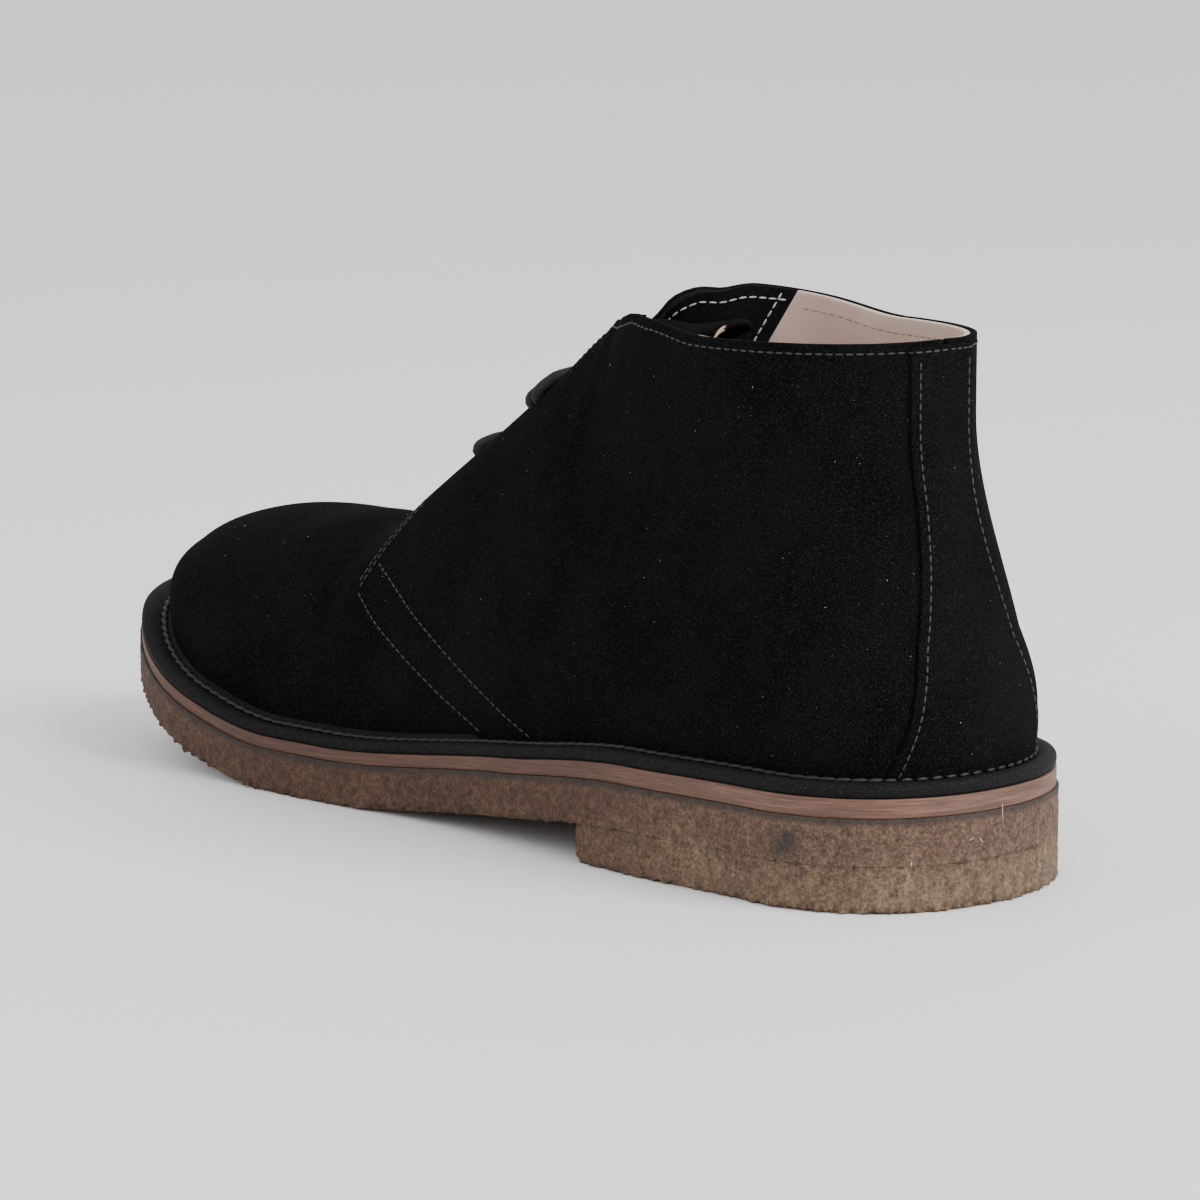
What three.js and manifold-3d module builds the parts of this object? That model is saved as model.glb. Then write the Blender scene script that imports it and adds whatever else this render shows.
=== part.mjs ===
// A left desert boot: suede upper stitched down to a leather midsole on a crepe outsole.
// Millimetres. The toe points to +X, the outer side of the foot to +Y, and +Z is up.
// The origin is on the floor, under the middle of the shoe's bounding box. Sizes are worked
// out from the heel's centre line, and the last step moves each piece to the origin.

import * as THREE from "three";
import { mergeVertices } from "three/addons/utils/BufferGeometryUtils.js";
import Module from "manifold-3d";

// Driving sizes of the shoe
const LENGTH = 300;
const HEEL_RADIUS = 40;
const HEEL_HALF_WIDTH = 42.5;
const TOE_RADIUS = 60;
const TOE_AXIS = LENGTH - TOE_RADIUS;
const TOE_AXIS_Y = -8;
const HEEL_POWER = 2.15;
const TOE_POWER_OUTER = 1.92;
const TOE_POWER_INNER = 1.7;
const GAP = 0.35;
const MIDDLE_ALONG = 0.25;
const MIDDLE_ACROSS = 5.35;

// Driving sizes of the sole
const CREPE_THICKNESS = 11;
const BREAST = 96;
const SPRING_START = 209;
const SPRING_RISE = 30.8;
const SPRING_POWER = 1.7;
const TIP_START = 272;
const TIP_FALL = 6.5;
const EDGE_SETBACK = 0.5;

// Driving sizes of the upper
const FLANGE_WIDTH = 6.7;
const FLANGE_WIDTH_AT_TOE = 8.4;
const FLANGE_WIDER_FROM = 1.7;
const WALL = 3;
const QUARTER_STEP = 1.1;
const PANEL_STEP = 1;
const OVERLAP = 0.6;
const OVERLAY_LOW = 0.012;
const QUARTER_HIGH = 0.994;
const PANEL_HIGH = 0.988;
const COLLAR_BACK = 19.5;
const COLLAR_MIDDLE = 64.5;
const COLLAR_HALF_WIDTH = 33;
const INNER_ANKLE_RISE = 2.2;
const ANKLE_START = 60;
const ANKLE_FULL = 100;
const ANKLE_FADE = 113;
const ANKLE_END = 140;
const COLLAR_BACK_RISE = 0.8;
const SIDE_BULGE = 1.8;
const BULGE_HEIGHT = 0.32;
const LEAN_START = 0.12;
const LEAN_END = 0.82;
const EYELET_RADIUS = 2;
const EYELET_SIDES = 10;
const EYELET_DOWN = 9;
const LACE_REACH = 7.5;
const INSOLE_THICKNESS = 2.6;
const TONGUE_THICKNESS = 2.2;
const TONGUE_CLEARANCE = 0.8;
const LACE_RADIUS = 1.4;
const LACE_LIFT = 0.55;
const LACE_EDGE = 0.99;
const LACE_SEATS = 4;
const LACE_STEPS = 18;
const LACE_SIDES = 8;

// Mesh steps along the heel round, each long side and the toe round, and up the wall
const HEEL_STEPS = 9;
const SIDE_STEPS = 20;
const TOE_STEPS = 9;
const WALL_STEPS = 13;
const FLANGE_SHARES = [0, 0.5, 1];
const WELD_DISTANCE = 1e-3;
const MARCH_STEP = 0.005;
const NORMAL_STEP = 1e-3;

// Bounds of the cutting solids
const CUT_TOP = 140;
const CUT_BOTTOM = 10;
const PANEL_BACK = 5;
const PANEL_DEPTH = 45;
const PUNCH_LENGTH = 12;

// Sole outline: distance from the back of the heel, and half widths outwards and inwards
const WIDTHS = [
  { at: 40, outer: 42.5, inner: 42.5 },
  { at: 78, outer: 44.6, inner: 38.6 },
  { at: 112, outer: 43.2, inner: 36.6 },
  { at: 150, outer: 41.9, inner: 43 },
  { at: 190, outer: 45.8, inner: 55 },
  { at: 222, outer: 47.7, inner: 58.4 },
  { at: 240, outer: 47.3, inner: 57.5 },
];

// Side view of the sole: top of the midsole and its thickness, before the toe spring
const SOLE_HEIGHTS = [
  { at: 0, top: 26.5, midsole: 4.5 },
  { at: 80, top: 25.7, midsole: 4.4 },
  { at: 125, top: 20.6, midsole: 3.6 },
  { at: 190, top: 14.1, midsole: 3.1 },
  { at: 300, top: 14.1, midsole: 3 },
];

// Flange of the upper: thickness of the turned-out suede
const FLANGE = [
  { at: 0, thick: 3 },
  { at: 150, thick: 2.6 },
  { at: 300, thick: 2.3 },
];

// Top line: where the rib from each foot point ends, how high, and how far from the ridge
const TOP_LINE = [
  { foot: 40, at: 64.5, height: 126.5, half: 33 },
  { foot: 75, at: 85, height: 128.4, half: 30 },
  { foot: 103, at: 103, height: 129, half: 22 },
  { foot: 118, at: 113, height: 126.2, half: 14 },
  { foot: 127, at: 119.5, height: 122.8, half: 7 },
  { foot: 146, at: 137, height: 109.6, half: 6 },
  { foot: 175, at: 168, height: 88, half: 4.6 },
  { foot: 190, at: 184, height: 76.5, half: 3.2 },
  { foot: 197, at: 193, height: 71.2, half: 1.6 },
  { foot: 203, at: 201, height: 68.6, half: 0 },
  { foot: 222, at: 222, height: 65, half: 0 },
  { foot: 240, at: 240, height: 64.8, half: 0 },
];

// Ridge of the last: sideways place of its centre line
const RIDGE = [
  { at: 20, side: 0 },
  { at: 110, side: 0 },
  { at: 190, side: -3 },
  { at: 240, side: TOE_AXIS_Y },
];

// Section of the wall: how much it stands up like a shaft, and how square its shoulder is
const SECTIONS = [
  { foot: 40, shaft: 1, shoulder: 2.3 },
  { foot: 72, shaft: 0.92, shoulder: 2.3 },
  { foot: 100, shaft: 0.62, shoulder: 2.3 },
  { foot: 127, shaft: 0.25, shoulder: 2.3 },
  { foot: 160, shaft: 0.08, shoulder: 2.3 },
  { foot: 204, shaft: 0, shoulder: 2.4 },
  { foot: 240, shaft: 0, shoulder: 2.5 },
];
const TOE_SHOULDER = 3.4;
const TOP_ROUNDING = 2.05;

// Front edge of the quarters in side view: from above the throat to below the flange
const QUARTER_EDGE = [
  { at: 197, height: CUT_TOP },
  { at: 197, height: 68 },
  { at: 193.5, height: 60 },
  { at: 193, height: 54.5 },
  { at: 190, height: 50.5 },
  { at: 184, height: 47 },
  { at: 172, height: 40.5 },
  { at: 154, height: 29.5 },
  { at: 138, height: 21.5 },
  { at: 116, height: CUT_BOTTOM },
];

// Heel panel seen from behind: half width at each height
const PANEL = [
  { height: CUT_TOP, half: 10.6 },
  { height: 92, half: 10.6 },
  { height: 80, half: 11.8 },
  { height: 65, half: 15 },
  { height: 48, half: 20 },
  { height: 34, half: 24 },
  { height: CUT_BOTTOM, half: 30 },
];

// Tongue: foot of each rib that it lies under, and its half width along the wall
const TONGUE_RIBS = [
  { foot: 214, half: 13 },
  { foot: 207, half: 14 },
  { foot: 199, half: 15 },
  { foot: 190, half: 16 },
  { foot: 180, half: 17 },
  { foot: 168, half: 18 },
  { foot: 156, half: 19 },
  { foot: 144, half: 20 },
  { foot: 134, half: 20 },
  { foot: 128, half: 20 },
];

// Free end of the tongue: steps past the last rib, rise of its middle, and shares of
// the last rib's width and arch
const TONGUE_END = [
  { back: 7, up: -1, width: 0.88, arch: 0.9 },
  { back: 15, up: -1, width: 0.82, arch: 0.7 },
  { back: 23, up: 0.2, width: 0.76, arch: 0.5 },
  { back: 29, up: 1.4, width: 0.66, arch: 0.36 },
  { back: 31.5, up: 1.7, width: 0.46, arch: 0.3 },
];
const TONGUE_ACROSS = 4;
const TONGUE_CROWN = 1.2;
const TONGUE_CROWN_SPAN = 8;

// Eyelet pairs: foot of the rib that each pair lies on
const EYELET_FEET = [
  { name: "lace_lower", foot: 173 },
  { name: "lace_upper", foot: 150 },
];

const OUTER = 1;
const INNER = -1;
const QUARTER_TURN = Math.PI / 2;

// Smooth curve through the rows of a table, level at both ends unless told otherwise
function curve(rows, key, column, x, sloping = false) {
  const last = rows.length - 1;
  const place = Math.min(Math.max(x, rows[0][key]), rows[last][key]);
  let i = 0;
  while (i < last - 1 && place > rows[i + 1][key]) {
    i += 1;
  }
  const secant = (k) => (rows[k + 1][column] - rows[k][column]) / (rows[k + 1][key] - rows[k][key]);
  const slope = (k) => {
    if (k === 0 || k === last) {
      return sloping ? secant(Math.min(k, last - 1)) : 0;
    }
    const before = secant(k - 1);
    const after = secant(k);
    return before * after <= 0 ? 0 : (2 * before * after) / (before + after);
  };
  const span = rows[i + 1][key] - rows[i][key];
  const f = (place - rows[i][key]) / span;
  const start = rows[i][column] * (1 + 2 * f) * (1 - f) ** 2 + slope(i) * span * f * (1 - f) ** 2;
  const end = rows[i + 1][column] * f * f * (3 - 2 * f) - slope(i + 1) * span * f * f * (1 - f);
  return start + end;
}

function smoothStep(from, to, x) {
  const f = Math.min(Math.max((x - from) / (to - from), 0), 1);
  return f * f * (3 - 2 * f);
}

function springRise(at) {
  const f = Math.max(at - SPRING_START, 0) / (LENGTH - SPRING_START);
  const tip = Math.max(at - TIP_START, 0) / (LENGTH - TIP_START);
  return SPRING_RISE * f ** SPRING_POWER - TIP_FALL * tip * tip;
}

function midsoleTop(at) {
  return curve(SOLE_HEIGHTS, "at", "top", at) + springRise(at);
}

function midsoleBottom(at) {
  return midsoleTop(at) - curve(SOLE_HEIGHTS, "at", "midsole", at);
}

function crepeBottom(at) {
  return Math.max(midsoleBottom(at) - CREPE_THICKNESS, springRise(at));
}

// Half width of a rounded end, from its full half width, at a share of the way to its tip
function roundEnd(half, share, power) {
  return half * Math.max(1 - share ** power, 0) ** (1 / power);
}

// Point of the sole outline, drawn in by an inset. Turn 0 to 1 is the heel round,
// 1 to 2 the long side and 2 to 3 the toe round, from the back to the tip.
function outlinePoint(side, turn, inset) {
  const column = side === OUTER ? "outer" : "inner";
  if (turn <= 1) {
    const share = Math.max(Math.cos(turn * QUARTER_TURN), 0) ** (2 / HEEL_POWER);
    const y = side * roundEnd(HEEL_HALF_WIDTH - inset, share, HEEL_POWER);
    return { at: HEEL_RADIUS - (HEEL_RADIUS - inset) * share, y, axisAt: HEEL_RADIUS, axisY: 0 };
  }
  if (turn <= 2) {
    const at = HEEL_RADIUS + (turn - 1) * (TOE_AXIS - HEEL_RADIUS);
    const y = side * (curve(WIDTHS, "at", column, at) - inset);
    return { at, y, axisAt: at, axisY: curve(RIDGE, "at", "side", at) };
  }
  const power = side === OUTER ? TOE_POWER_OUTER : TOE_POWER_INNER;
  const share = Math.max(Math.sin((turn - 2) * QUARTER_TURN), 0) ** (2 / TOE_POWER_OUTER);
  const half = WIDTHS[WIDTHS.length - 1][column] - side * TOE_AXIS_Y - inset;
  const y = TOE_AXIS_Y + side * roundEnd(half, share, power);
  return { at: TOE_AXIS + (TOE_RADIUS - inset) * share, y, axisAt: TOE_AXIS, axisY: TOE_AXIS_Y };
}

// Upper end of the rib that starts at the same turn of the outline
function topPoint(side, turn) {
  const ankle = side === INNER ? INNER_ANKLE_RISE : 0;
  if (turn <= 1) {
    const angle = turn * QUARTER_TURN;
    const at = COLLAR_MIDDLE - (COLLAR_MIDDLE - COLLAR_BACK) * Math.cos(angle);
    const back = COLLAR_BACK_RISE * (1 - Math.sin(angle));
    return { at, y: side * COLLAR_HALF_WIDTH * Math.sin(angle), z: TOP_LINE[0].height + back };
  }
  const foot = HEEL_RADIUS + Math.min(turn - 1, 1) * (TOE_AXIS - HEEL_RADIUS);
  const at = curve(TOP_LINE, "foot", "at", foot, true);
  const half = curve(TOP_LINE, "foot", "half", foot);
  const fade = 1 - smoothStep(ANKLE_FADE, ANKLE_END, at);
  const lift = ankle * smoothStep(ANKLE_START, ANKLE_FULL, at) * fade;
  const y = curve(RIDGE, "at", "side", at) + side * half;
  return { at, y, z: curve(TOP_LINE, "foot", "height", foot) + lift };
}

// Point of the upper's outer face: rise 0 is the feather edge, 1 the ridge or top line
function wallPoint(side, turn, rise) {
  const foot = outlinePoint(side, turn, flangeWidth(turn));
  const top = topPoint(side, turn);
  const along = HEEL_RADIUS + Math.min(Math.max(turn - 1, 0), 1) * (TOE_AXIS - HEEL_RADIUS);
  const shaft = curve(SECTIONS, "foot", "shaft", along);
  const round = Math.max(turn - 2, 0) * QUARTER_TURN;
  const sideShoulder = curve(SECTIONS, "foot", "shoulder", along);
  const shoulder = sideShoulder + (TOE_SHOULDER - sideShoulder) * Math.sin(round) ** 2;
  const angle = rise * QUARTER_TURN;
  const archIn = 1 - Math.max(Math.cos(angle), 0) ** (2 / TOP_ROUNDING);
  const archUp = Math.sin(angle) ** (2 / shoulder);
  const inward = shaft * smoothStep(LEAN_START, LEAN_END, rise) + (1 - shaft) * archIn;
  const upward = shaft * rise + (1 - shaft) * archUp;
  const swell = SIDE_BULGE * Math.sin(Math.PI * Math.min(rise / BULGE_HEIGHT, 1));
  const reach = Math.hypot(foot.at - foot.axisAt, foot.y - foot.axisY);
  const grow = swell / reach;
  const at = foot.at + (top.at - foot.at) * inward + (foot.at - foot.axisAt) * grow;
  const y = foot.y + (top.y - foot.y) * inward + (foot.y - foot.axisY) * grow;
  const base = midsoleTop(foot.at);
  return new THREE.Vector3(at - LENGTH / 2, y, base + (top.z - base) * upward);
}

// Every turn of one side, from the back of the heel to the tip of the toe
function turns() {
  const list = [];
  for (let i = 0; i < HEEL_STEPS; i += 1) {
    list.push(i / HEEL_STEPS);
  }
  for (let i = 0; i < SIDE_STEPS; i += 1) {
    list.push(1 + i / SIDE_STEPS);
  }
  for (let i = 0; i <= TOE_STEPS; i += 1) {
    list.push(2 + i / TOE_STEPS);
  }
  return list;
}

// The whole way round: up the outer side and back down the inner side
function loop() {
  const side = turns();
  const outer = side.map((turn) => ({ side: OUTER, turn }));
  const inner = side.slice(1, -1).reverse().map((turn) => ({ side: INNER, turn }));
  return [...outer, ...inner];
}

function indexed(points, faces) {
  const geometry = new THREE.BufferGeometry();
  const flat = points.flatMap((p) => [p.x, p.y, p.z]);
  geometry.setAttribute("position", new THREE.Float32BufferAttribute(flat, 3));
  geometry.setIndex(faces.flat());
  return geometry;
}

// Joins equal points and drops the triangles that this closes up
function weld(geometry) {
  const merged = mergeVertices(geometry, WELD_DISTANCE);
  const index = merged.getIndex();
  const kept = [];
  for (let i = 0; i < index.count; i += 3) {
    const [a, b, c] = [index.getX(i), index.getX(i + 1), index.getX(i + 2)];
    if (a !== b && b !== c && a !== c) {
      kept.push(a, b, c);
    }
  }
  merged.setIndex(kept);
  return merged;
}

// Open sheet over rows of points, closed sideways when the rows are rings
function sheet(rows, ring) {
  const across = rows[0].length;
  const faces = [];
  for (let j = 0; j < rows.length - 1; j += 1) {
    for (let i = 0; i < (ring ? across : across - 1); i += 1) {
      const next = (i + 1) % across;
      const [a, b] = [j * across + i, j * across + next];
      const [c, d] = [(j + 1) * across + next, (j + 1) * across + i];
      faces.push([a, c, b], [a, d, c]);
    }
  }
  return weld(indexed(rows.flat(), faces));
}

// Closed solid between two copies of a sheet, moved along its normals
function thicken(surface, outward, inward) {
  surface.computeVertexNormals();
  const place = surface.getAttribute("position");
  const normal = surface.getAttribute("normal");
  const index = surface.getIndex();
  const moved = (distance) => {
    const points = [];
    for (let i = 0; i < place.count; i += 1) {
      const point = new THREE.Vector3().fromBufferAttribute(place, i);
      points.push(point.addScaledVector(new THREE.Vector3().fromBufferAttribute(normal, i), distance));
    }
    return points;
  };
  const count = place.count;
  const faces = [];
  const edges = new Map();
  for (let i = 0; i < index.count; i += 3) {
    const corner = [index.getX(i), index.getX(i + 1), index.getX(i + 2)];
    faces.push(corner);
    faces.push([corner[0] + count, corner[2] + count, corner[1] + count]);
    corner.forEach((a, k) => {
      const b = corner[(k + 1) % 3];
      if (!edges.delete(`${b},${a}`)) {
        edges.set(`${a},${b}`, [a, b]);
      }
    });
  }
  edges.forEach(([a, b]) => {
    faces.push([b, a, a + count], [b, a + count, b + count]);
  });
  return indexed([...moved(outward), ...moved(inward)], faces);
}

// Sheet of the upper's outer face, between two rises of the wall
function upperSheet(low, high) {
  const ring = loop();
  const rows = [];
  for (let j = 0; j <= WALL_STEPS; j += 1) {
    const rise = low + (high - low) * (j / WALL_STEPS);
    rows.push(ring.map(({ side, turn }) => wallPoint(side, turn, rise)));
  }
  return sheet(rows, true);
}

// Plate inside the outline, between two heights that change along the shoe
function plate(inset, low, high, limit = LENGTH) {
  const bar = (turn) => [outlinePoint(OUTER, turn, inset(turn)), outlinePoint(INNER, turn, inset(turn))];
  const bars = turns().map(bar);
  const kept = bars.filter(([outer]) => outer.at < limit);
  if (limit < LENGTH) {
    kept.push(bar(footTurn(limit)));
  }
  const corner = (point, height) => new THREE.Vector3(point.at - LENGTH / 2, point.y, height(point.at));
  const rings = kept.map(([outer, inner]) => {
    return [corner(outer, low), corner(outer, high), corner(inner, high), corner(inner, low)];
  });
  const faces = [];
  for (let j = 0; j < rings.length - 1; j += 1) {
    for (let i = 0; i < 4; i += 1) {
      const next = (i + 1) % 4;
      const [a, b, c, d] = [j * 4 + i, j * 4 + next, j * 4 + 4 + next, j * 4 + 4 + i];
      faces.push([a, b, c], [a, c, d]);
    }
  }
  const end = (rings.length - 1) * 4;
  faces.push([0, 2, 1], [0, 3, 2], [end, end + 1, end + 2], [end, end + 2, end + 3]);
  return weld(indexed(rings.flat(), faces));
}

// Ring of turned-out suede round the foot of the upper
function flangeRing() {
  const under = [];
  const over = [];
  FLANGE_SHARES.forEach((share) => {
    const points = loop().map(({ side, turn }) => {
      const deep = flangeWidth(turn) + QUARTER_STEP + OVERLAP;
      return outlinePoint(side, turn, EDGE_SETBACK + (deep - EDGE_SETBACK) * share);
    });
    const lift = (thick) => points.map((p) => {
      const height = midsoleTop(p.at) + thick * curve(FLANGE, "at", "thick", p.at);
      return new THREE.Vector3(p.at - LENGTH / 2, p.y, height);
    });
    under.push(lift(0));
    over.push(lift(1));
  });
  return sheet([...under.reverse(), ...over, under[0]], true);
}

// Prism from a closed outline in the plane across one axis
function prism(points, depth, turnIt) {
  const shape = new THREE.Shape(points.map(([x, y]) => new THREE.Vector2(x, y)));
  const geometry = new THREE.ExtrudeGeometry(shape, { depth, bevelEnabled: false });
  return turnIt(geometry);
}

// Width of the flange, wider round the toe
function flangeWidth(turn) {
  return FLANGE_WIDTH + (FLANGE_WIDTH_AT_TOE - FLANGE_WIDTH) * smoothStep(FLANGE_WIDER_FROM, 3, turn);
}

function footTurn(foot) {
  return 1 + (foot - HEEL_RADIUS) / (TOE_AXIS - HEEL_RADIUS);
}

// Outward direction of the wall at one place
function wallNormal(side, turn, rise) {
  const step = NORMAL_STEP;
  const along = wallPoint(side, turn + step, rise).sub(wallPoint(side, turn - step, rise));
  const up = wallPoint(side, turn, rise).sub(wallPoint(side, turn, rise - step));
  return along.cross(up).multiplyScalar(-side).normalize();
}

// Rise of the point that lies a given way down the wall from the top line
function riseBelow(side, turn, distance) {
  const step = MARCH_STEP;
  let rise = 1;
  let gone = 0;
  while (gone < distance) {
    gone += wallPoint(side, turn, rise).distanceTo(wallPoint(side, turn, rise - step));
    rise -= step;
  }
  return rise;
}

function tongueSheet() {
  const deep = WALL + TONGUE_CLEARANCE;
  const lies = (side, turn, rise) => {
    return wallPoint(side, turn, rise).addScaledVector(wallNormal(side, turn, rise), -deep);
  };
  const rows = TONGUE_RIBS.map(({ foot, half }) => {
    const turn = footTurn(foot);
    const gap = topPoint(OUTER, turn).y - topPoint(INNER, turn).y;
    const strip = (side) => {
      const list = [];
      for (let i = 0; i <= TONGUE_ACROSS; i += 1) {
        const down = (half - gap / 2) * (1 - i / TONGUE_ACROSS);
        list.push(lies(side, turn, riseBelow(side, turn, down) - NORMAL_STEP));
      }
      return list;
    };
    const outer = strip(OUTER);
    const inner = strip(INNER).reverse();
    const crown = outer[TONGUE_ACROSS].clone().add(inner[0]).multiplyScalar(0.5);
    const open = outer[TONGUE_ACROSS].distanceTo(inner[0]);
    crown.z += TONGUE_CROWN * Math.min(1, open / TONGUE_CROWN_SPAN);
    return [...outer.slice(0, -1), crown, ...inner.slice(1)];
  });
  const last = rows[rows.length - 1];
  const middle = last[TONGUE_ACROSS];
  TONGUE_END.forEach(({ back, up, width, arch }) => {
    const height = (p) => middle.z + up + (p.z - middle.z) * arch;
    rows.push(last.map((p) => new THREE.Vector3(p.x - back, p.y * width, height(p))));
  });
  return sheet(rows, false);
}

// One bar of the lace across the throat, from over one eyelet to over the other
function laceBar(foot) {
  const turn = footTurn(foot);
  const lift = LACE_RADIUS + LACE_LIFT;
  const seat = (side, down) => {
    const rise = riseBelow(side, turn, down);
    return wallPoint(side, turn, rise).addScaledVector(wallNormal(side, turn, rise), lift);
  };
  const over = wallNormal(OUTER, turn, LACE_EDGE).add(wallNormal(INNER, turn, LACE_EDGE)).normalize();
  const edge = (side) => {
    const top = topPoint(side, turn);
    return new THREE.Vector3(top.at - LENGTH / 2, top.y, top.z).addScaledVector(over, lift);
  };
  const half = (side) => {
    const list = [];
    for (let i = 0; i < LACE_SEATS; i += 1) {
      list.push(seat(side, LACE_REACH * (1 - i / LACE_SEATS)));
    }
    return [...list, edge(side)];
  };
  const points = [...half(OUTER), ...half(INNER).reverse()];
  const path = new THREE.CatmullRomCurve3(points, false, "centripetal");
  const section = new THREE.Shape();
  section.absarc(0, 0, LACE_RADIUS, 0, 2 * Math.PI);
  return new THREE.ExtrudeGeometry(section, {
    steps: LACE_STEPS,
    curveSegments: LACE_SIDES,
    extrudePath: path,
    bevelEnabled: false,
  });
}

// Joining and cutting of solids
const wasm = await Module();
wasm.setup();

function solid(geometry) {
  const bare = geometry.clone();
  bare.deleteAttribute("normal");
  bare.deleteAttribute("uv");
  const merged = weld(bare);
  return new wasm.Manifold(new wasm.Mesh({
    numProp: 3,
    vertProperties: new Float32Array(merged.getAttribute("position").array),
    triVerts: new Uint32Array(merged.getIndex().array),
  }));
}

function geometryOf(body) {
  const mesh = body.getMesh();
  const geometry = new THREE.BufferGeometry();
  geometry.setAttribute("position", new THREE.Float32BufferAttribute(mesh.vertProperties, 3));
  geometry.setIndex(Array.from(mesh.triVerts));
  return geometry;
}

// Space over the quarters, behind their front edge
function quarterPrism() {
  const edge = QUARTER_EDGE.map(({ at, height }) => [at - LENGTH / 2, height]);
  const outline = [[-LENGTH, CUT_TOP], [-LENGTH, CUT_BOTTOM], ...edge.reverse()];
  return prism(outline, LENGTH, (g) => g.rotateX(QUARTER_TURN).translate(0, LENGTH / 2, 0));
}

// Space over the heel panel, as seen from behind
function panelPrism() {
  const right = PANEL.map(({ height, half }) => [half, height]);
  const left = PANEL.map(({ height, half }) => [-half, height]).reverse();
  const back = -LENGTH / 2 - PANEL_BACK;
  const place = (g) => g.rotateX(QUARTER_TURN).rotateZ(QUARTER_TURN).translate(back, 0, 0);
  return prism([...right, ...left].reverse(), PANEL_DEPTH, place);
}

function eyeletPunch(side, foot) {
  const turn = footTurn(foot);
  const rise = riseBelow(side, turn, EYELET_DOWN);
  const normal = wallNormal(side, turn, rise);
  const punch = new THREE.CylinderGeometry(EYELET_RADIUS, EYELET_RADIUS, PUNCH_LENGTH, EYELET_SIDES);
  punch.applyQuaternion(new THREE.Quaternion().setFromUnitVectors(new THREE.Vector3(0, 1, 0), normal));
  const place = wallPoint(side, turn, rise);
  return punch.translate(place.x, place.y, place.z);
}

function upperGeometry() {
  const base = solid(thicken(upperSheet(0, 1), -QUARTER_STEP, -WALL));
  const quarterFace = upperSheet(OVERLAY_LOW, QUARTER_HIGH);
  const panelFace = upperSheet(OVERLAY_LOW, PANEL_HIGH);
  const quarterBlank = solid(thicken(quarterFace, 0, -QUARTER_STEP - OVERLAP));
  const panelBlank = solid(thicken(panelFace, PANEL_STEP, -OVERLAP));
  const quarters = quarterBlank.intersect(solid(quarterPrism()));
  const panel = panelBlank.intersect(solid(panelPrism()));
  let upper = base.add(quarters).add(panel).add(solid(flangeRing()));
  EYELET_FEET.forEach(({ foot }) => {
    upper = upper.subtract(solid(eyeletPunch(OUTER, foot)));
    upper = upper.subtract(solid(eyeletPunch(INNER, foot)));
  });
  return geometryOf(upper);
}

const suede = new THREE.MeshStandardMaterial({ color: 0x121214, roughness: 0.95, metalness: 0 });
const tongueSuede = new THREE.MeshStandardMaterial({ color: 0x151517, roughness: 0.95, metalness: 0 });
const leather = new THREE.MeshStandardMaterial({ color: 0x8a6b5c, roughness: 0.7, metalness: 0 });
const insoleLeather = new THREE.MeshStandardMaterial({ color: 0xb79c8e, roughness: 0.7, metalness: 0 });
const crepe = new THREE.MeshStandardMaterial({ color: 0x6d5a4a, roughness: 0.9, metalness: 0 });
const heelCrepe = new THREE.MeshStandardMaterial({ color: 0x75624f, roughness: 0.9, metalness: 0 });
const cotton = new THREE.MeshStandardMaterial({ color: 0x101010, roughness: 0.8, metalness: 0 });

const boot = new THREE.Group();

function addPiece(name, geometry, material) {
  const placed = geometry.translate(MIDDLE_ALONG, MIDDLE_ACROSS, 0);
  const mesh = new THREE.Mesh(placed, material);
  mesh.name = name;
  boot.add(mesh);
}

const soleInset = () => 0;
const midsoleInset = () => EDGE_SETBACK;
const insoleInset = (turn) => flangeWidth(turn) + WALL + 2 * GAP;
const liftTop = (at) => crepeBottom(at) - GAP;
const outsoleTop = (at) => midsoleBottom(at) - GAP;
const midsoleFace = (at) => midsoleTop(at) - GAP;
const insoleFace = (at) => midsoleTop(at) + INSOLE_THICKNESS;

addPiece("outsole", plate(soleInset, crepeBottom, outsoleTop), crepe);
addPiece("heel_lift", plate(soleInset, () => 0, liftTop, BREAST), heelCrepe);
addPiece("midsole", plate(midsoleInset, midsoleBottom, midsoleFace), leather);
addPiece("insole", plate(insoleInset, midsoleTop, insoleFace), insoleLeather);
addPiece("upper", upperGeometry(), suede);
addPiece("tongue", thicken(tongueSheet(), 0, -TONGUE_THICKNESS), tongueSuede);
EYELET_FEET.forEach(({ name, foot }) => addPiece(name, laceBar(foot), cotton));

export default boot;
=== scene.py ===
import math
import random
from functools import lru_cache

import bmesh
import bpy
from mathutils import Matrix, Vector, noise


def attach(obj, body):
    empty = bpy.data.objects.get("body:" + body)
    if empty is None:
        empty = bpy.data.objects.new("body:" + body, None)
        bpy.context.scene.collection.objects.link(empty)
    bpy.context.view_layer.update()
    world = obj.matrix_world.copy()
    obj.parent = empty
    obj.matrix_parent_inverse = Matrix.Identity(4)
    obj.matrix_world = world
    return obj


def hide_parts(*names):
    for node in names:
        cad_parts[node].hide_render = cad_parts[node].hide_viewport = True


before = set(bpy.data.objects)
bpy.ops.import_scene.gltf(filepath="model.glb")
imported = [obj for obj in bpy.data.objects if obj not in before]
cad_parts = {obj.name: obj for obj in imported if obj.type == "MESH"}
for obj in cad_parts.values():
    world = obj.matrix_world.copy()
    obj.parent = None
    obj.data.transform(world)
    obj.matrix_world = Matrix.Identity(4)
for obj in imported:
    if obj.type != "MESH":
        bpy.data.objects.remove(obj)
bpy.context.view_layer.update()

# Camera
# It stands where the photograph was taken: behind the heel, on the outer side and a little above.
# It is turned to the middle of the one shoe.
CAMERA_TURN = math.radians(45.69)
CAMERA_RISE = math.radians(8.96)
CAMERA_DISTANCE = 1.22154
CAMERA_ASIDE = 0.04935
CAMERA_UP = 0.00613
CAMERA_TARGET = Vector((0.00025, 0.00535, 0.06))
CAMERA_LENS = 148
AIM_ASIDE = -0.0324
AIM_UP = -0.0122

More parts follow.
